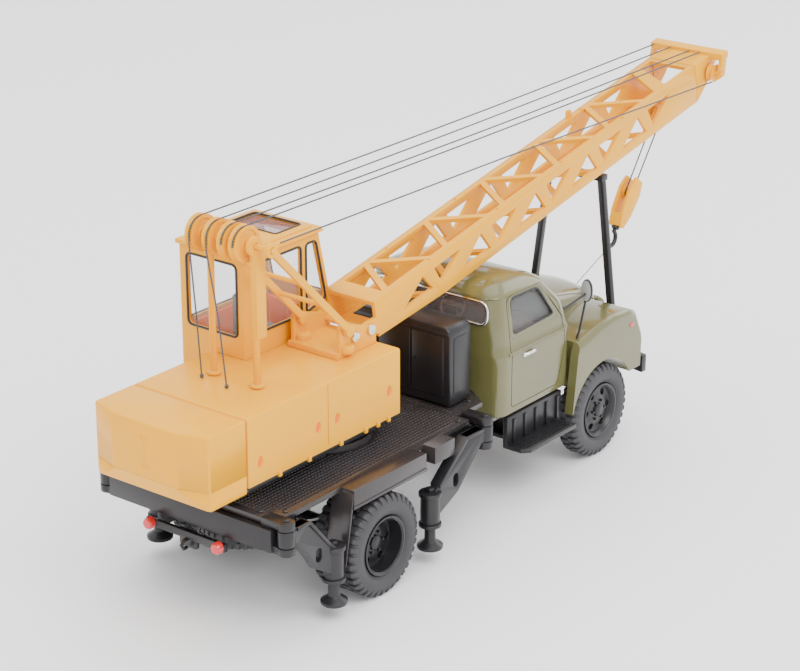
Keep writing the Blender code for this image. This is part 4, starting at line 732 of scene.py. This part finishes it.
headlamp = {
    "ring": ((0, 0), (2.6, 0), (2.6, 0.9), (2.3, 1.3), (2.0, 1.35), (1.9, 1.0), (0, 1.0)),
    "lens": ((0, 1.0), (1.9, 1.0), (1.6, 1.5), (0.9, 1.85), (0, 1.95)),
}
for label, side in sides:
    place = (101.4, side * 16.4, 26.6)
    ring = turned(f"headlampRing_{label}", headlamp["ring"], place, "X", 40)
    dress(ring, "brightTrim", "chassis", [f"headlamp_{label}"])
    lens = turned(f"headlampLens_{label}", headlamp["lens"], place, "X", 40)
    dress(lens, "lampClear", "chassis")
    outline = roundedBox(96.2, 28.7, 98.0, 29.6, 0.4)
    lamp = slab(f"wingLamp_{label}", outline, "XZ", *span(side, 21.6, 22.1), 0.12)
    dress(smooth(lamp), "lampRed", "chassis")
print("bonnet done")

# mirrors, boards, bumper, locker
mirror = {
    "y": 21.0,
    "z": 42.6,
    "upperArm": ((72.9, 18.95, 39.4), (74.5, 19.6, 40.2), (79.0, 21.0, 42.0)),
    "lowerArm": ((77.6, 19.6, 31.2), (78.2, 19.9, 33.0), (79.1, 21.0, 41.6)),
}
for label, side in sides:
    y, z = mirror["y"] * side, mirror["z"]
    clock = [math.tau * i / 36 for i in range(36)]
    face = [(y + 1.5 * math.cos(t), z + 2.7 * math.sin(t)) for t in clock]
    bits = [slab("mirrorBack", face, "YZ", 78.75, 79.45, 0.2, 3)]
    for arm in ("upperArm", "lowerArm"):
        bits.append(strand(arm, [(a, side * b, c) for a, b, c in mirror[arm]], 0.27))
    bits.append(rod("armClamp", (79.2, y, 42.3), 0.5, 1.2, "Z", 16, 0.1))
    back = smooth(weld(f"mirrorBody_{label}", *bits), 50)
    dress(back, "satinBlack", "chassis", [f"mirror_{label}"])
    glass = [(y + (a - y) * 0.84, z + (b - z) * 0.9) for a, b in face]
    pane = slab(f"mirrorGlass_{label}", glass, "YZ", 78.6, 78.8, 0.06)
    dress(smooth(pane), "mirrorFace", "chassis")

board = {
    "outline": ((51.0, 19.2), (51.0, 23.4), (52.6, 25.0), (70.4, 25.0), (70.4, 19.2)),
    "z": (13.0, 14.0),
    "pitch": 0.0009,
    "studs": (20, 5),
}
for label, side in sides:
    step = slab("step", [(x, side * y) for x, y in board["outline"]], "XY", *board["z"], 0.15)
    low, high = span(side, 20.0, 20.5)
    stud = slab("stud", roundedBox(51.6, low, 52.1, high, 0.12, 2), "XY", 13.95, 14.18)
    repeated(stud, board["studs"][0], (board["pitch"], 0, 0))
    repeated(stud, board["studs"][1], (0, side * board["pitch"], 0))
    bits = [step, stud, sideBlock("riser", side, (51.0, 72.0), (18.4, 19.6), (13.0, 20.4), 0.2)]
    ribs = []
    for i in range(5):
        length = (53.0 + i * 4.2, 53.9 + i * 4.2)
        ribs.append(sideBlock("rib", side, length, (19.4, 20.0), (14.2, 19.6), 0.12))
    bits.append(sideBlock("strap", side, (55.0, 66.4), (9.4, 19), board["z"], 0.15))
    whole = smooth(weld(f"runningBoard_{label}", *bits, *ribs))
    dress(whole, "satinBlack", "chassis", [f"running_board_{label}"])
for node, name in (
    ("front_bumper", "frontBumper"),
    ("boom_rest", "boomRest"),
    ("tail_lamp_bar", "tailLampBar"),
    ("rear_axle_housing", "rearAxleHousing"),
):
    dress(copied(node, name, 0.22), "satinBlack", "chassis", [node])

lockerBody = copied("rear_locker", "rearLocker", 0.35)
panels = []
for i in range(3):
    low, high = (35.55, -13.4 + i * 9.1, 29.0), (35.95, -4.9 + i * 9.1, 42.6)
    panels.append(block("panel", low, high, 0.15))
for label, side in sides:
    outline = roundedBox(37.2, 29.4, 42.2, 42.4, 0.7)
    panels.append(slab("sidePanel", outline, "XZ", *span(side, 14.9, 15.15), 0.08))
panels += [rod("latch", (35.5, y, 36.5), 0.35, 0.5, "X", 12, 0.1) for y in (-5.4, 3.8)]
panels.append(block("lid", (35.6, -14.8, 43.3), (43.6, 14.8, 43.6), 0.1))
lockerBody = smooth(weld("rearLocker", lockerBody, *panels))
dress(lockerBody, "satinBlack", "chassis", ["rear_locker"])
print("mirrors, boards, bumper and locker done")

# chassis, deck and outriggers
outriggers = (("rear", -28.6, 1, 14.2), ("front", 36.4, -1, 19.1))  # end, hinge, way, reach
hingeY = 24.0
irons = [copied("chassis_frame", "frameIrons", 0.18)]
for end, hingeX, way, length in outriggers:
    for label, side in sides:
        irons.append(hexNut("hingeNut", (hingeX, side * hingeY, 27.1), 0.8, 0.7, "Z"))
        irons.append(rod("washer", (hingeX, side * hingeY, 26.95), 1.25, 0.3, "Z", 24, 0.06))
for x in (-18, 28, 44, 56, 68):
    for label, side in sides:
        irons.append(hexNut("railBolt", (x, side * 9.3, 19.4), 0.45, 0.5, "Y"))
irons.append(slab("towPlate", roundedBox(-2.4, 15.0, 2.4, 18.8, 0.6), "YZ", -30.9, -30.2, 0.12))
towLine = ((-30.9, 17.0), (-32.2, 17.0), (-32.9, 16.2), (-32.4, 15.2), (-31.4, 15.2))
irons.append(strand("towHook", [(x, 0, z) for x, z in towLine], 0.4))
dress(smooth(weld("frameIrons", *irons)), "satinBlack", "chassis", ["chassis_frame"])

deck = {
    "pitch": 0.95,
    "stud": 0.74,
    "rise": 0.14,
    "top": 26.5,
    "border": 1.5,
    "corner": (-28.0, -20.6),
    "counts": (79, 44),
}
deckPlate = copied("deck_plate", "deckPlate", 0.16)
firstStud = at(*deck["corner"], deck["top"] - 0.02)
bpy.ops.mesh.primitive_plane_add(size=deck["stud"] * mm, location=firstStud)
studs = settle(added("studs"))
lift, taper = (0, 0, deck["rise"] * mm), (0.8, 0.8, 1)
edit(
    studs,
    lambda: bpy.ops.mesh.extrude_region_move(TRANSFORM_OT_translate={"value": lift}),
    lambda: bpy.ops.transform.resize(value=taper, center_override=at(*deck["corner"], 0)),
)
countX, countY = deck["counts"]
repeated(studs, countX, (deck["pitch"] * mm, 0, 0))
repeated(studs, countY, (0, deck["pitch"] * mm, 0))


def onDeck(x, y):
    edge = deck["border"]
    if math.hypot(x - slewX, y) < 12.6:
        return False
    if x < -24.6:
        return abs(y) < 18.5 - edge and x > -29.4 + edge
    if x < 33.0:
        return abs(y) < 21.6 - edge * 0.8
    return 34.6 < x < 35.0 and abs(y) < 18.2 - edge


def offDeck(mesh):  # the faces of each stud that stands where the plate is plain
    mesh.faces.ensure_lookup_table()
    perStud = len(mesh.faces) // (countX * countY)
    for first in range(0, len(mesh.faces), perStud):
        group = [mesh.faces[first + k] for k in range(perStud)]
        x = sum((f.calc_center_median().x - rearAxleX) * 1000 for f in group) / perStud
        y = sum(f.calc_center_median().y * 1000 for f in group) / perStud
        if not onDeck(x, y):
            yield from group


pick(studs, "FACE", offDeck, lambda: bpy.ops.mesh.delete(type="FACE"))
fittings = [deckPlate, studs]
for label, side in sides:
    for x, y in ((-24.6, 20.4), (31.8, 20.4), (42.0, 15.6), (-27.6, 16.6)):
        fittings.append(rod("deckBolt", (x, side * y, 26.65), 0.55, 0.4, "Z", 20, 0.12))
    flap = [(-9.25, 25.8), (-11.85, 10.6), (-11.45, 10.6), (-8.75, 25.8)]
    fittings.append(slab("mudFlap", flap, "XZ", *span(side, 19.6, 25.0), 0.1))
    fittings.append(sideBlock("guardLip", side, (-9.4, 14.6), (24.9, 25.35), (22.5, 23.2), 0.1))
dress(smooth(weld("deckPlate", *fittings)), "chequerBlack", "chassis", ["deck_plate"])

jack = [(0, 3.6), (2.75, 3.6), (2.8, 3.8), (2.8, 4.3), (2.4, 4.6), (1.9, 4.9), (1.3, 5.4), (1.2, 6.0)]
jack += [(1.2, 14.9), (0, 14.9)]
for end, hingeX, way, length in outriggers:
    tubeX, ribEnd = hingeX + way * length, hingeX + way * length * 0.42
    rib = [(hingeX + way * 2.0, 25.2), (ribEnd, 25.2), (ribEnd, 24.5), (hingeX + way * 2.0, 24.5)]
    slope = [(ribEnd, 25.2), (hingeX + way * (length - 1.6), 17.4)]
    slope += [(hingeX + way * (length - 1.9), 16.7), (hingeX + way * length * 0.40, 24.4)]
    for label, side in sides:
        body = f"outrigger_{end}_{label}"
        y = side * hingeY
        bits = [copied(f"{body}_arm", "arm", 0.2)]
        bits.append(rod("collar", (tubeX, y, 16.0), 2.5, 0.9, "Z", 32, 0.15))
        bits.append(rod("lowCollar", (tubeX, y, 9.0), 2.45, 0.8, "Z", 32, 0.15))
        bits.append(hexNut("topNut", (tubeX, y, 16.9), 0.9, 1.0, "Z"))
        for name, outline in (("topRib", rib), ("slopeRib", slope)):
            bits.append(slab(name, outline, "XZ", y - 1.35, y + 1.35, 0.12))
        arm = smooth(weld(f"{end}Arm_{label}", *bits))
        dress(arm, "satinBlack", body, [f"{body}_arm"])
        leg = turned(f"{end}Jack_{label}", jack, (tubeX, y, 0), "Z", 40)
        dress(leg, "satinBlack", f"{body}_leg", [f"{body}_jack"])

spare = tyreSkin("spareTyre", 0, 0, 2.3)
spare.data.transform(Matrix.Translation(-at(0, 0, tyre["radius"])))
laid = Matrix.Translation(at(-14.6, 0, 14.2)) @ Matrix.Rotation(math.pi / 2, 4, "X")
spare.data.transform(laid @ Matrix.Scale(0.846, 4))
dress(spare, "tyreRubber", "chassis", ["spare_wheel"])
tailLens = [(0, 0.2), (1.25, 0.2), (1.25, -0.9), (1.0, -1.3), (0, -1.45)]
for label, side in sides:
    lens = turned(f"tailLamp_{label}", tailLens, (-31.9, side * 9.2, 18.2), "X", 24)
    dress(lens, "lampRed", "chassis")
print("chassis done")

# turret
house = {"x": (-29.2, 18.4), "half": 15.1, "z": (31.6, 46.1), "notch": (-6.5, 5.3)}
x0, x1 = house["x"]
half, (nx, ny) = house["half"], house["notch"]
plan = [(x0, -half), (x1, -half), (x1, ny), (nx, ny), (nx, half), (x0, half)]
shell = slab("engineHousing", plan, "XY", *house["z"])
bevelWhere(shell, lambda x, y, z: z > 46 and (x < nx + 0.1 or y < ny - 1), 0.55, 4)
hollow = [(x0 + 1, 1 - half), (x1 - 1, 1 - half), (x1 - 1, ny - 1), (nx - 1, ny - 1)]
hollow += [(nx - 1, half - 1), (x0 + 1, half - 1)]
carve(shell, slab("hollow", hollow, "XY", 29, 45.1))
carve(shell, block("doorSeam", (-5.05, -16, 32.6), (-4.8, -14.85, 45.4)))
carve(shell, block("doorSeamLeft", (-18.05, 14.85, 32.6), (-17.8, 16, 45.4)))
# each hand cup gets a thin deeper orange lining just inside its recess: painted shade
cupShades = []
for x, z in ((-25.6, 36.0), (-8.0, 37.2), (-2.0, 37.2), (14.8, 37.6)):
    for side in (-1, 1):
        if side > 0 and x > -7:
            continue
        carve(shell, ball("cup", (x, side * half, z), (0.85, 0.55, 1.3)))
        cupShade = ball(f"handCupShade_{len(cupShades)}", (x, side * (half - 0.35), z), (0.72, 0.15, 1.15))
        cupShades.append(smooth(cupShade, 60))
smooth(shell, 34)
dress(weld("handCupShades", *cupShades), "craneShadeOrange", "turret")
lugs = [copied("engine_housing", "bracketSource", 0.0)]
carve(lugs[0], block("belowBrackets", (-32, -17, 28), (22, 17, 46.2)))
soften(lugs[0], 0.16)
for x in (-20.5, -11.5, -1.5, 6.5, 10.5, 14.0):
    lugs.append(block("hingeTab", (x, -15.5, 31.0), (x + 0.9, -14.9, 32.3), 0.1))
for x, y in ((8.0, -9.4), (8.0, 2.2)):
    lugs.append(rod("strutBase", (x, y, 47.9), 1.6, 1.6, "Z", 28, 0.2))
shell = smooth(weld("engineHousing", shell, *lugs), 34)
dress(shell, "craneYellow", "turret", ["engine_housing"])

tail = copied("counterweight", "tailWeight", 0.55, 4)
ringOut = slab("ringOut", [(-45, -17), (-28, -17), (-28, 17), (-45, 17)], "XY", 34.45, 34.6)
inside = [(-27, -14.98), (-27, 14.98), (-40.12, 14.98), (-42.26, 8.26), (-42.26, -8.26), (-40.12, -14.98)]
carve(ringOut, slab("ringIn", inside, "XY", 34, 35))
carve(tail, ringOut)
hinges = []
for y in (-0.9, 0.6):
    for z in (36.4, 42.6):
        hinges.append(block("pin", (-42.55, y - 0.25, z), (-42.3, y + 0.25, z + 0.9), 0.08))
hinges.append(block("doorLine", (-42.45, -0.2, 36.6), (-42.36, -0.06, 43.4)))
tail = smooth(weld("tailWeight", tail, *hinges), 34)
dress(tail, "craneYellow", "turret", ["counterweight"])

ring = copied("turntable", "turntable", 0.2)
tab = block("ringTab", (slewX + 10.2, -0.5, 28.2), (slewX + 11.2, 0.5, 30.6), 0.15)
tabs = circled(tab, 20, (slewX, 0, 29), "Z")
dress(smooth(weld("turntable", ring, tabs)), "satinBlack", "turret", ["turntable"])

cockpit = {
    "profile": ((-6.3, 31.6), (19.8, 31.6), (20.8, 50.0), (20.8, 53.0), (17.2, 68.0), (-6.3, 68.0)),
    "y": (5.5, 23.3),
    "skin": 0.8,
    "rear": (7.5, 50.6, 21.2, 66.2, 1.1),
    "side": ((-3.9, 50.9), (11.4, 50.9), (11.4, 66.0), (-3.9, 66.0)),
    "quarter": ((13.0, 50.9), (19.3, 52.6), (16.2, 66.0), (13.0, 66.0)),
    "front": (7.2, 53.2, 21.6, 66.0, 1.0),
    "hatch": (7.0, 8.4, 15.2, 21.4, 0.8),
}
y0, y1 = cockpit["y"]
skin = cockpit["skin"]
booth = slab("cockpit", cockpit["profile"], "XZ", y0, y1)
inner = [(-6.3 + skin, 30), (19.8 - skin, 30), (20.8 - skin, 50), (20.8 - skin, 52.8)]
inner += [(17.2 - skin, 67.4), (-6.3 + skin, 67.4)]
carve(booth, slab("inside", inner, "XZ", y0 + skin, y1 - skin))
soften(booth, 0.35, 3)
for hole, low, high in (("rear", -9, -3), ("front", 15, 24)):
    carve(booth, slab("hole", roundedBox(*cockpit[hole]), "YZ", low, high))
for hole, radius in (("side", 1.1), ("quarter", 1.0)):
    carve(booth, slab("hole", roundedOutline(cockpit[hole], radius), "XZ", 0, 30))
roof = slab("roof", [(-6.9, 4.9), (17.8, 4.9), (17.8, 23.9), (-6.9, 23.9)], "XY", 67.8, 68.8, 0.3, 3)
crown = slab("roofCrown", [(-5.6, 6.4), (16.4, 6.4), (16.4, 22.4), (-5.6, 22.4)], "XY", 68.6, 69.15, 0.35, 3)
hatch = roundedBox(*cockpit["hatch"])
for piece in (roof, crown, booth):
    carve(piece, slab("hatchHole", hatch, "XY", 60, 75))
gutter = strand("gutter", [(-6.9, 4.85, 68.0), (17.9, 4.85, 68.0)], 0.22, 2)
booth = smooth(weld("cockpit", booth, roof, crown, gutter), 34)
dress(booth, "craneYellow", "turret", ["cockpit_shell"])

seals = [strand("seal", [(-6.35, y, z) for y, z in roundedBox(*cockpit["rear"])], 0.26, 2, True)]
slope = 3.6 / 15.0
frontLine = [(20.95 - (z - 53.0) * slope, y, z) for y, z in roundedBox(*cockpit["front"])]
seals.append(strand("seal", frontLine, 0.26, 2, True))
seals.append(strand("seal", [(x, y, 69.15) for x, y in hatch], 0.24, 2, True))
for y in (y0 - 0.05, y1 + 0.05):
    for hole, radius in (("side", 1.1), ("quarter", 1.0)):
        line = [(x, y, z) for x, z in roundedOutline(cockpit[hole], radius)]
        seals.append(strand("seal", line, 0.26, 2, True))
dress(weld("cockpitSeals", *seals), "gasketBlack", "turret")

panes = slab("cockpitGlass", inner, "XZ", y0 + skin, y1 - skin)
shrink = [(x + (0.35 if x < 0 else -0.35), z) for x, z in inner]
carve(panes, slab("paneInside", shrink, "XZ", y0 + skin + 0.35, y1 - skin - 0.35))
carve(panes, block("below", (-10, 0, 20), (25, 30, 49.4)))
carve(panes, block("above", (-10, 0, 67.0), (25, 30, 70)))
dress(smooth(panes), "clearWindow", "turret", ["cockpit_glazing"])
lid = slab("hatchPane", roundedBox(6.9, 8.3, 15.3, 21.5, 0.8), "XY", 68.5, 68.8, 0.08)
dress(smooth(lid), "tintedHatch", "turret")
# the desk, sill panel and levers take the deeper orange: painted shade inside the cockpit
desk = [slab("desk", [(14.0, 31.8), (18.6, 31.8), (19.4, 49.8), (14.6, 51.6)], "XZ", 8.0, 20.8, 0.4, 3)]
desk.append(block("sillPanel", (-5.2, y1 - 1.7, 32.0), (17.5, y1 - 0.95, 50.3), 0.2))
desk.append(strand("lever", [(13.4, 11.0, 44.0), (12.6, 11.0, 53.4)], 0.3))
desk.append(strand("lever", [(13.4, 16.0, 44.0), (12.4, 16.0, 53.0)], 0.3))
dress(smooth(weld("cockpitInside", *desk)), "craneShadeOrange", "turret")
seatBits = [block("cushion", (0.4, 7.4, 46.2), (7.6, 15.4, 49.4), 0.9)]
seatBits.append(block("back", (0.2, 7.6, 48.6), (2.4, 15.2, 56.6), 0.8))
seatBits.append(block("pedestal", (2.0, 9.0, 31.8), (6.4, 13.8, 46.6), 0.4))
dress(smooth(weld("cockpitSeat", *seatBits)), "seatGrey", "turret", ["cockpit_seat"])
print("turret done")

# gantry
for label, side in sides:
    post = copied(f"gantry_post_{label}", f"gantryPost_{label}", 0.16)
    foot = rod("foot", (-15.6, side * 5.8, 46.6), 1.5, 0.7, "Z", 28, 0.2)
    post = smooth(weld(f"gantryPost_{label}", post, foot))
    dress(post, "craneYellow", "turret", [f"gantry_post_{label}"])
    strut = copied(f"gantry_strut_{label}", f"gantryStrut_{label}", 0.14)
    dress(strut, "craneYellow", "turret", [f"gantry_strut_{label}"])
spans = [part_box(f"gantry_strut_{label}") for label, side in sides]
ties = []
for share in (0.42, 0.66):
    ends = []
    for low, high in spans:
        x, z = low[0] + (high[0] - low[0]) * share, high[2] - (high[2] - low[2]) * share
        ends.append(((x - rearAxleX) * 1000, (low[1] + high[1]) / 2 * 1000, z * 1000))
    ties.append(strand("tie", ends, 0.5, 3))
dress(weld("gantryTies", *ties), "craneYellow", "turret")
spool = {"x": -15.6, "z": 75.8, "radius": 3.8, "width": 1.8, "wheels": (8.2, 3.7, -0.2, -3.2), "shaft": 0.6}


def spoolProfile(left, right, wheels, shaft, groove=0.55):
    line = [(0, left), (shaft, left)]
    for middle, radius, width in wheels:
        h = width / 2
        line += [(shaft, middle + h), (shaft * 2.2, middle + h), (shaft * 2.4, middle + h - 0.25)]
        line += [(radius - 1.0, middle + h - 0.25), (radius - 0.8, middle + h), (radius, middle + h)]
        line += [(radius - groove, middle + 0.25), (radius - groove, middle - 0.25), (radius, middle - h)]
        line += [(radius - 0.8, middle - h), (radius - 1.0, middle - h + 0.25)]
        line += [(shaft * 2.4, middle - h + 0.25), (shaft * 2.2, middle - h), (shaft, middle - h)]
    return line + [(shaft, right), (0, right)]


wheels = [(y, spool["radius"], spool["width"]) for y in spool["wheels"]]
profile = spoolProfile(9.6, -10.8, wheels, spool["shaft"])
drum = turned("gantrySheaves", profile, (spool["x"], 0, spool["z"]), "Y", 48)
dress(drum, "craneYellow", "gantry_spool", ["gantry_sheaves"])

# boom
boomBits = [copied("boom_lattice", "latticeBoom", 0.16)]
boomY, boomHalf = -1.6, 6.6
pitch = math.radians(11.1)


def alongBoom(u, v):
    return 18.6 + u * math.cos(pitch) + v * math.sin(pitch), 54.6 + u * math.sin(pitch) - v * math.cos(pitch)


for u in (20, 45.2, 70.4, 95.6):
    x, z = alongBoom(u, -0.15)
    for side in (1, -1):
        boomBits.append(rod("rivet", (x, boomY + side * (boomHalf - 0.8), z), 0.28, 0.3, "Z", 12, 0.06))
tabX, tabZ = alongBoom(91.0, -0.9)
tabLow = (tabX - 0.8, boomY + boomHalf - 0.9, tabZ - 1.2)
tabHigh = (tabX + 0.8, boomY + boomHalf - 0.1, tabZ + 0.7)
boomBits.append(block("ropeTab", tabLow, tabHigh, 0.15))
dress(smooth(weld("latticeBoom", *boomBits), 34), "craneYellow", "boom", ["boom_lattice"])
dress(copied("boom_head", "boomHead", 0.2), "craneYellow", "boom", ["boom_head"])
hx, hz = alongBoom(132.8, 4.0)
profile = spoolProfile(10.4, -10.4, [(7.9, 2.2, 1.4), (-7.9, 2.2, 1.4)], spool["shaft"], 0.5)
headDrum = turned("headSheaves", profile, (hx, boomY, hz), "Y", 40)
dress(headDrum, "craneYellow", "head_spool", ["head_sheaves"])
sx, sz = alongBoom(119.5, 11.2)
profile = spoolProfile(2.1, -2.1, [(0, 2.0, 1.6)], spool["shaft"], 0.5)
hoistDrum = turned("hoistSheave", profile, (sx, boomY, sz), "Y", 40)
dress(hoistDrum, "craneYellow", "hoist_spool", ["hoist_sheave"])

bolts = []
for x, z in ((15.8, 49.7), (10.6, 49.6)):
    bolts.append(rod("boltHead", (x, -9.7, z), 1.15, 0.8, "Y", 32, 0.25))
    bolts.append(rod("boltDimple", (x, -10.0, z), 0.5, 0.5, "Y", 6, 0.05))
dress(smooth(weld("bracketBolts", *bolts)), "boltSteel", "turret")
print("gantry and boom done")

# ropes, block and hook
tilt = math.radians(36.2)
fall = {"length": 20.5, "blockTop": 16.9, "block": 12.6}


def alongFall(distance, across=0.0):
    dx, dz = -math.sin(tilt), -math.cos(tilt)
    return sx + dx * distance - dz * across, sz + dz * distance + dx * across


def ropeOver(name, sheaveY, headY, tails):
    lie, points = 3.45, list(tails)
    hx, hz = alongBoom(133.4, -0.45)
    slopeUp = math.atan2(hz - spool["z"], hx - spool["x"])
    for i in range(13):
        angle = math.pi - (math.pi / 2 - slopeUp) * i / 12
        x, z = spool["x"] + lie * math.cos(angle), spool["z"] + lie * math.sin(angle)
        points.append((x, sheaveY, z))
    start, end = Vector(points[-1]), Vector((hx, headY, hz))
    for i in range(1, 13):
        spot = start.lerp(end, i / 12)
        spot.z -= 0.5 * math.sin(math.pi * i / 12)
        points.append(tuple(spot))
    return strand(name, points, 0.17, 3)


def knot(x, y, z):
    return rod("knot", (x, y, z), 0.42, 0.7, "Z", 16, 0.15)


def crossing(rope, nodes, start=(-15.6, 0, 76.4), end=(133.0, 0, 80.2)):
    rope.data.materials.clear()
    rope.data.materials.append(paints["cordGrey"])
    at(*start)
    at(*end)
    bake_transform(rope)
    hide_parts(*nodes)


plans = (  # side place on the gantry, side place on the head, tail down to the roof
    (8.2, 7.6, [(-18.8, 6.2, 46.3), (-19.0, 7.0, 60.0), (-19.05, 8.2, 73.8)]),
    (3.7, 2.9, [(-19.8, -1.4, 46.3), (-19.4, 0.6, 60.0), (-19.05, 3.7, 73.8)]),
    (-0.2, -2.6, []),
    (-3.2, -5.4, []),
)
for number, (sheaveY, headY, tails) in enumerate(plans, 1):
    name = f"luffingRope{number}"
    rope = ropeOver(name, sheaveY, headY, tails)
    if tails:
        rope = weld(name, rope, knot(tails[0][0], tails[0][1], 46.6))
    crossing(rope, [f"luffing_rope_{number}"])
goal = alongBoom(132.8, 4.0 + 1.8)
line = [(-13.2, -10.5, 76.8), (60, -10.2, 76.0), (goal[0] - 0.6, -9.5, goal[1] - 0.5)]
rope = strand("luffingRope5", line, 0.17, 3)
crossing(rope, ["luffing_rope_5"])

reach, low = 1.66, 1.56
points = [alongFall(0.6, reach)]
for i in range(13):
    angle = math.pi * i / 12
    points.append(alongFall(fall["length"] + low * math.sin(angle), low * math.cos(angle)))
points.append(alongFall(0.6, -reach))
rope = strand("hoistRope", [(x, boomY, z) for x, z in points], 0.17, 3)
upper, lower = alongFall(1.0), alongFall(fall["length"] - 1.0)
crossing(rope, ["hoist_rope"], (upper[0], boomY, upper[1]), (lower[0], boomY, lower[1]))
dress(copied("hook_block", "hookBlock", 0.3, 3), "craneYellow", "block", ["hook_block"])
start, hookRadius = fall["blockTop"] + fall["block"], 1.9
hookLine = [(start - 2.0, 0.0), (start + 1.4, 0.0)]
centre = start + 1.4 + hookRadius
for i in range(1, 15):
    angle = math.radians(90 - 19 * i)
    hookLine.append((centre - hookRadius * math.sin(angle), hookRadius * math.cos(angle)))
hookPoints = [alongFall(d, a) for d, a in hookLine]
hookBody = strand("loadHook", [(x, boomY, z) for x, z in hookPoints], 0.55, 4)
collarAt = alongFall(start + 0.4)
collar = rod("hookCollar", (0, 0, 0), 1.0, 0.7, "Z", 28, 0.15)
turn = Matrix.Translation(at(collarAt[0], boomY, collarAt[1])) @ Matrix.Rotation(tilt, 4, "Y")
collar.data.transform(turn @ Matrix.Translation(-at(0, 0, 0)))
dress(smooth(weld("loadHook", hookBody, collar), 50), "satinBlack", "load_hook", ["hook"])
tx, tz = alongFall(start + 1.4 + 3.8 + 0.9)
thread = [(tx, boomY, tz), (114.0, 3.2, 30.6), (106.0, 8.0, 20.8)]
dress(strand("tieThread", thread, 0.1, 2), "cordGrey", "block", ["tie_thread"])
print("ropes and hook done")

# studio
studio = {"floor": (0.93, 0.93, 0.94), "world": 1.75, "key": 7.0, "fill": 2.0}
bpy.ops.mesh.primitive_plane_add(size=6, location=(0, 0, 0))
floor = added("studioFloor")
ground = Finish("paleFloor", studio["floor"], 0.55)
cloud = ground.noise(3, 2)
ground.feed("Roughness", cloud * 0.1 + 0.5)
floor.data.materials.append(ground.material)
world = bpy.data.worlds.new("studioAir")
bpy.context.scene.world = world
world.use_nodes = True
world.node_tree.nodes["Background"].inputs[0].default_value = (1, 1, 1, 1)
world.node_tree.nodes["Background"].inputs[1].default_value = studio["world"]


def softbox(name, place, size, power):
    light = bpy.data.lights.new(name, "AREA")
    light.shape = "RECTANGLE"
    light.size, light.size_y = size
    light.energy = power
    made = bpy.data.objects.new(name, light)
    bpy.context.collection.objects.link(made)
    made.location = place
    made.rotation_euler = (Vector(place)).to_track_quat("Z", "Y").to_euler()


softbox("keyBox", (-0.25, -0.55, 0.75), (0.7, 0.5), studio["key"])
softbox("topBox", (0.15, 0.25, 0.9), (0.9, 0.9), studio["fill"] * 2)
softbox("farBox", (0.8, -0.1, 0.5), (0.5, 0.5), studio["fill"])
lens = bpy.data.cameras.new("studioCamera")
lens.lens = 105.9
lens.sensor_width = 36
lens.clip_start = 0.01
lens.clip_end = 20
camera = bpy.data.objects.new("studioCamera", lens)
bpy.context.collection.objects.link(camera)
camera.location = at(-337.9, -294.2, 225.7)
camera.rotation_euler = (math.radians(90 - 21.33), 0, math.radians(-51.93))
bpy.context.scene.camera = camera
print("studio done")
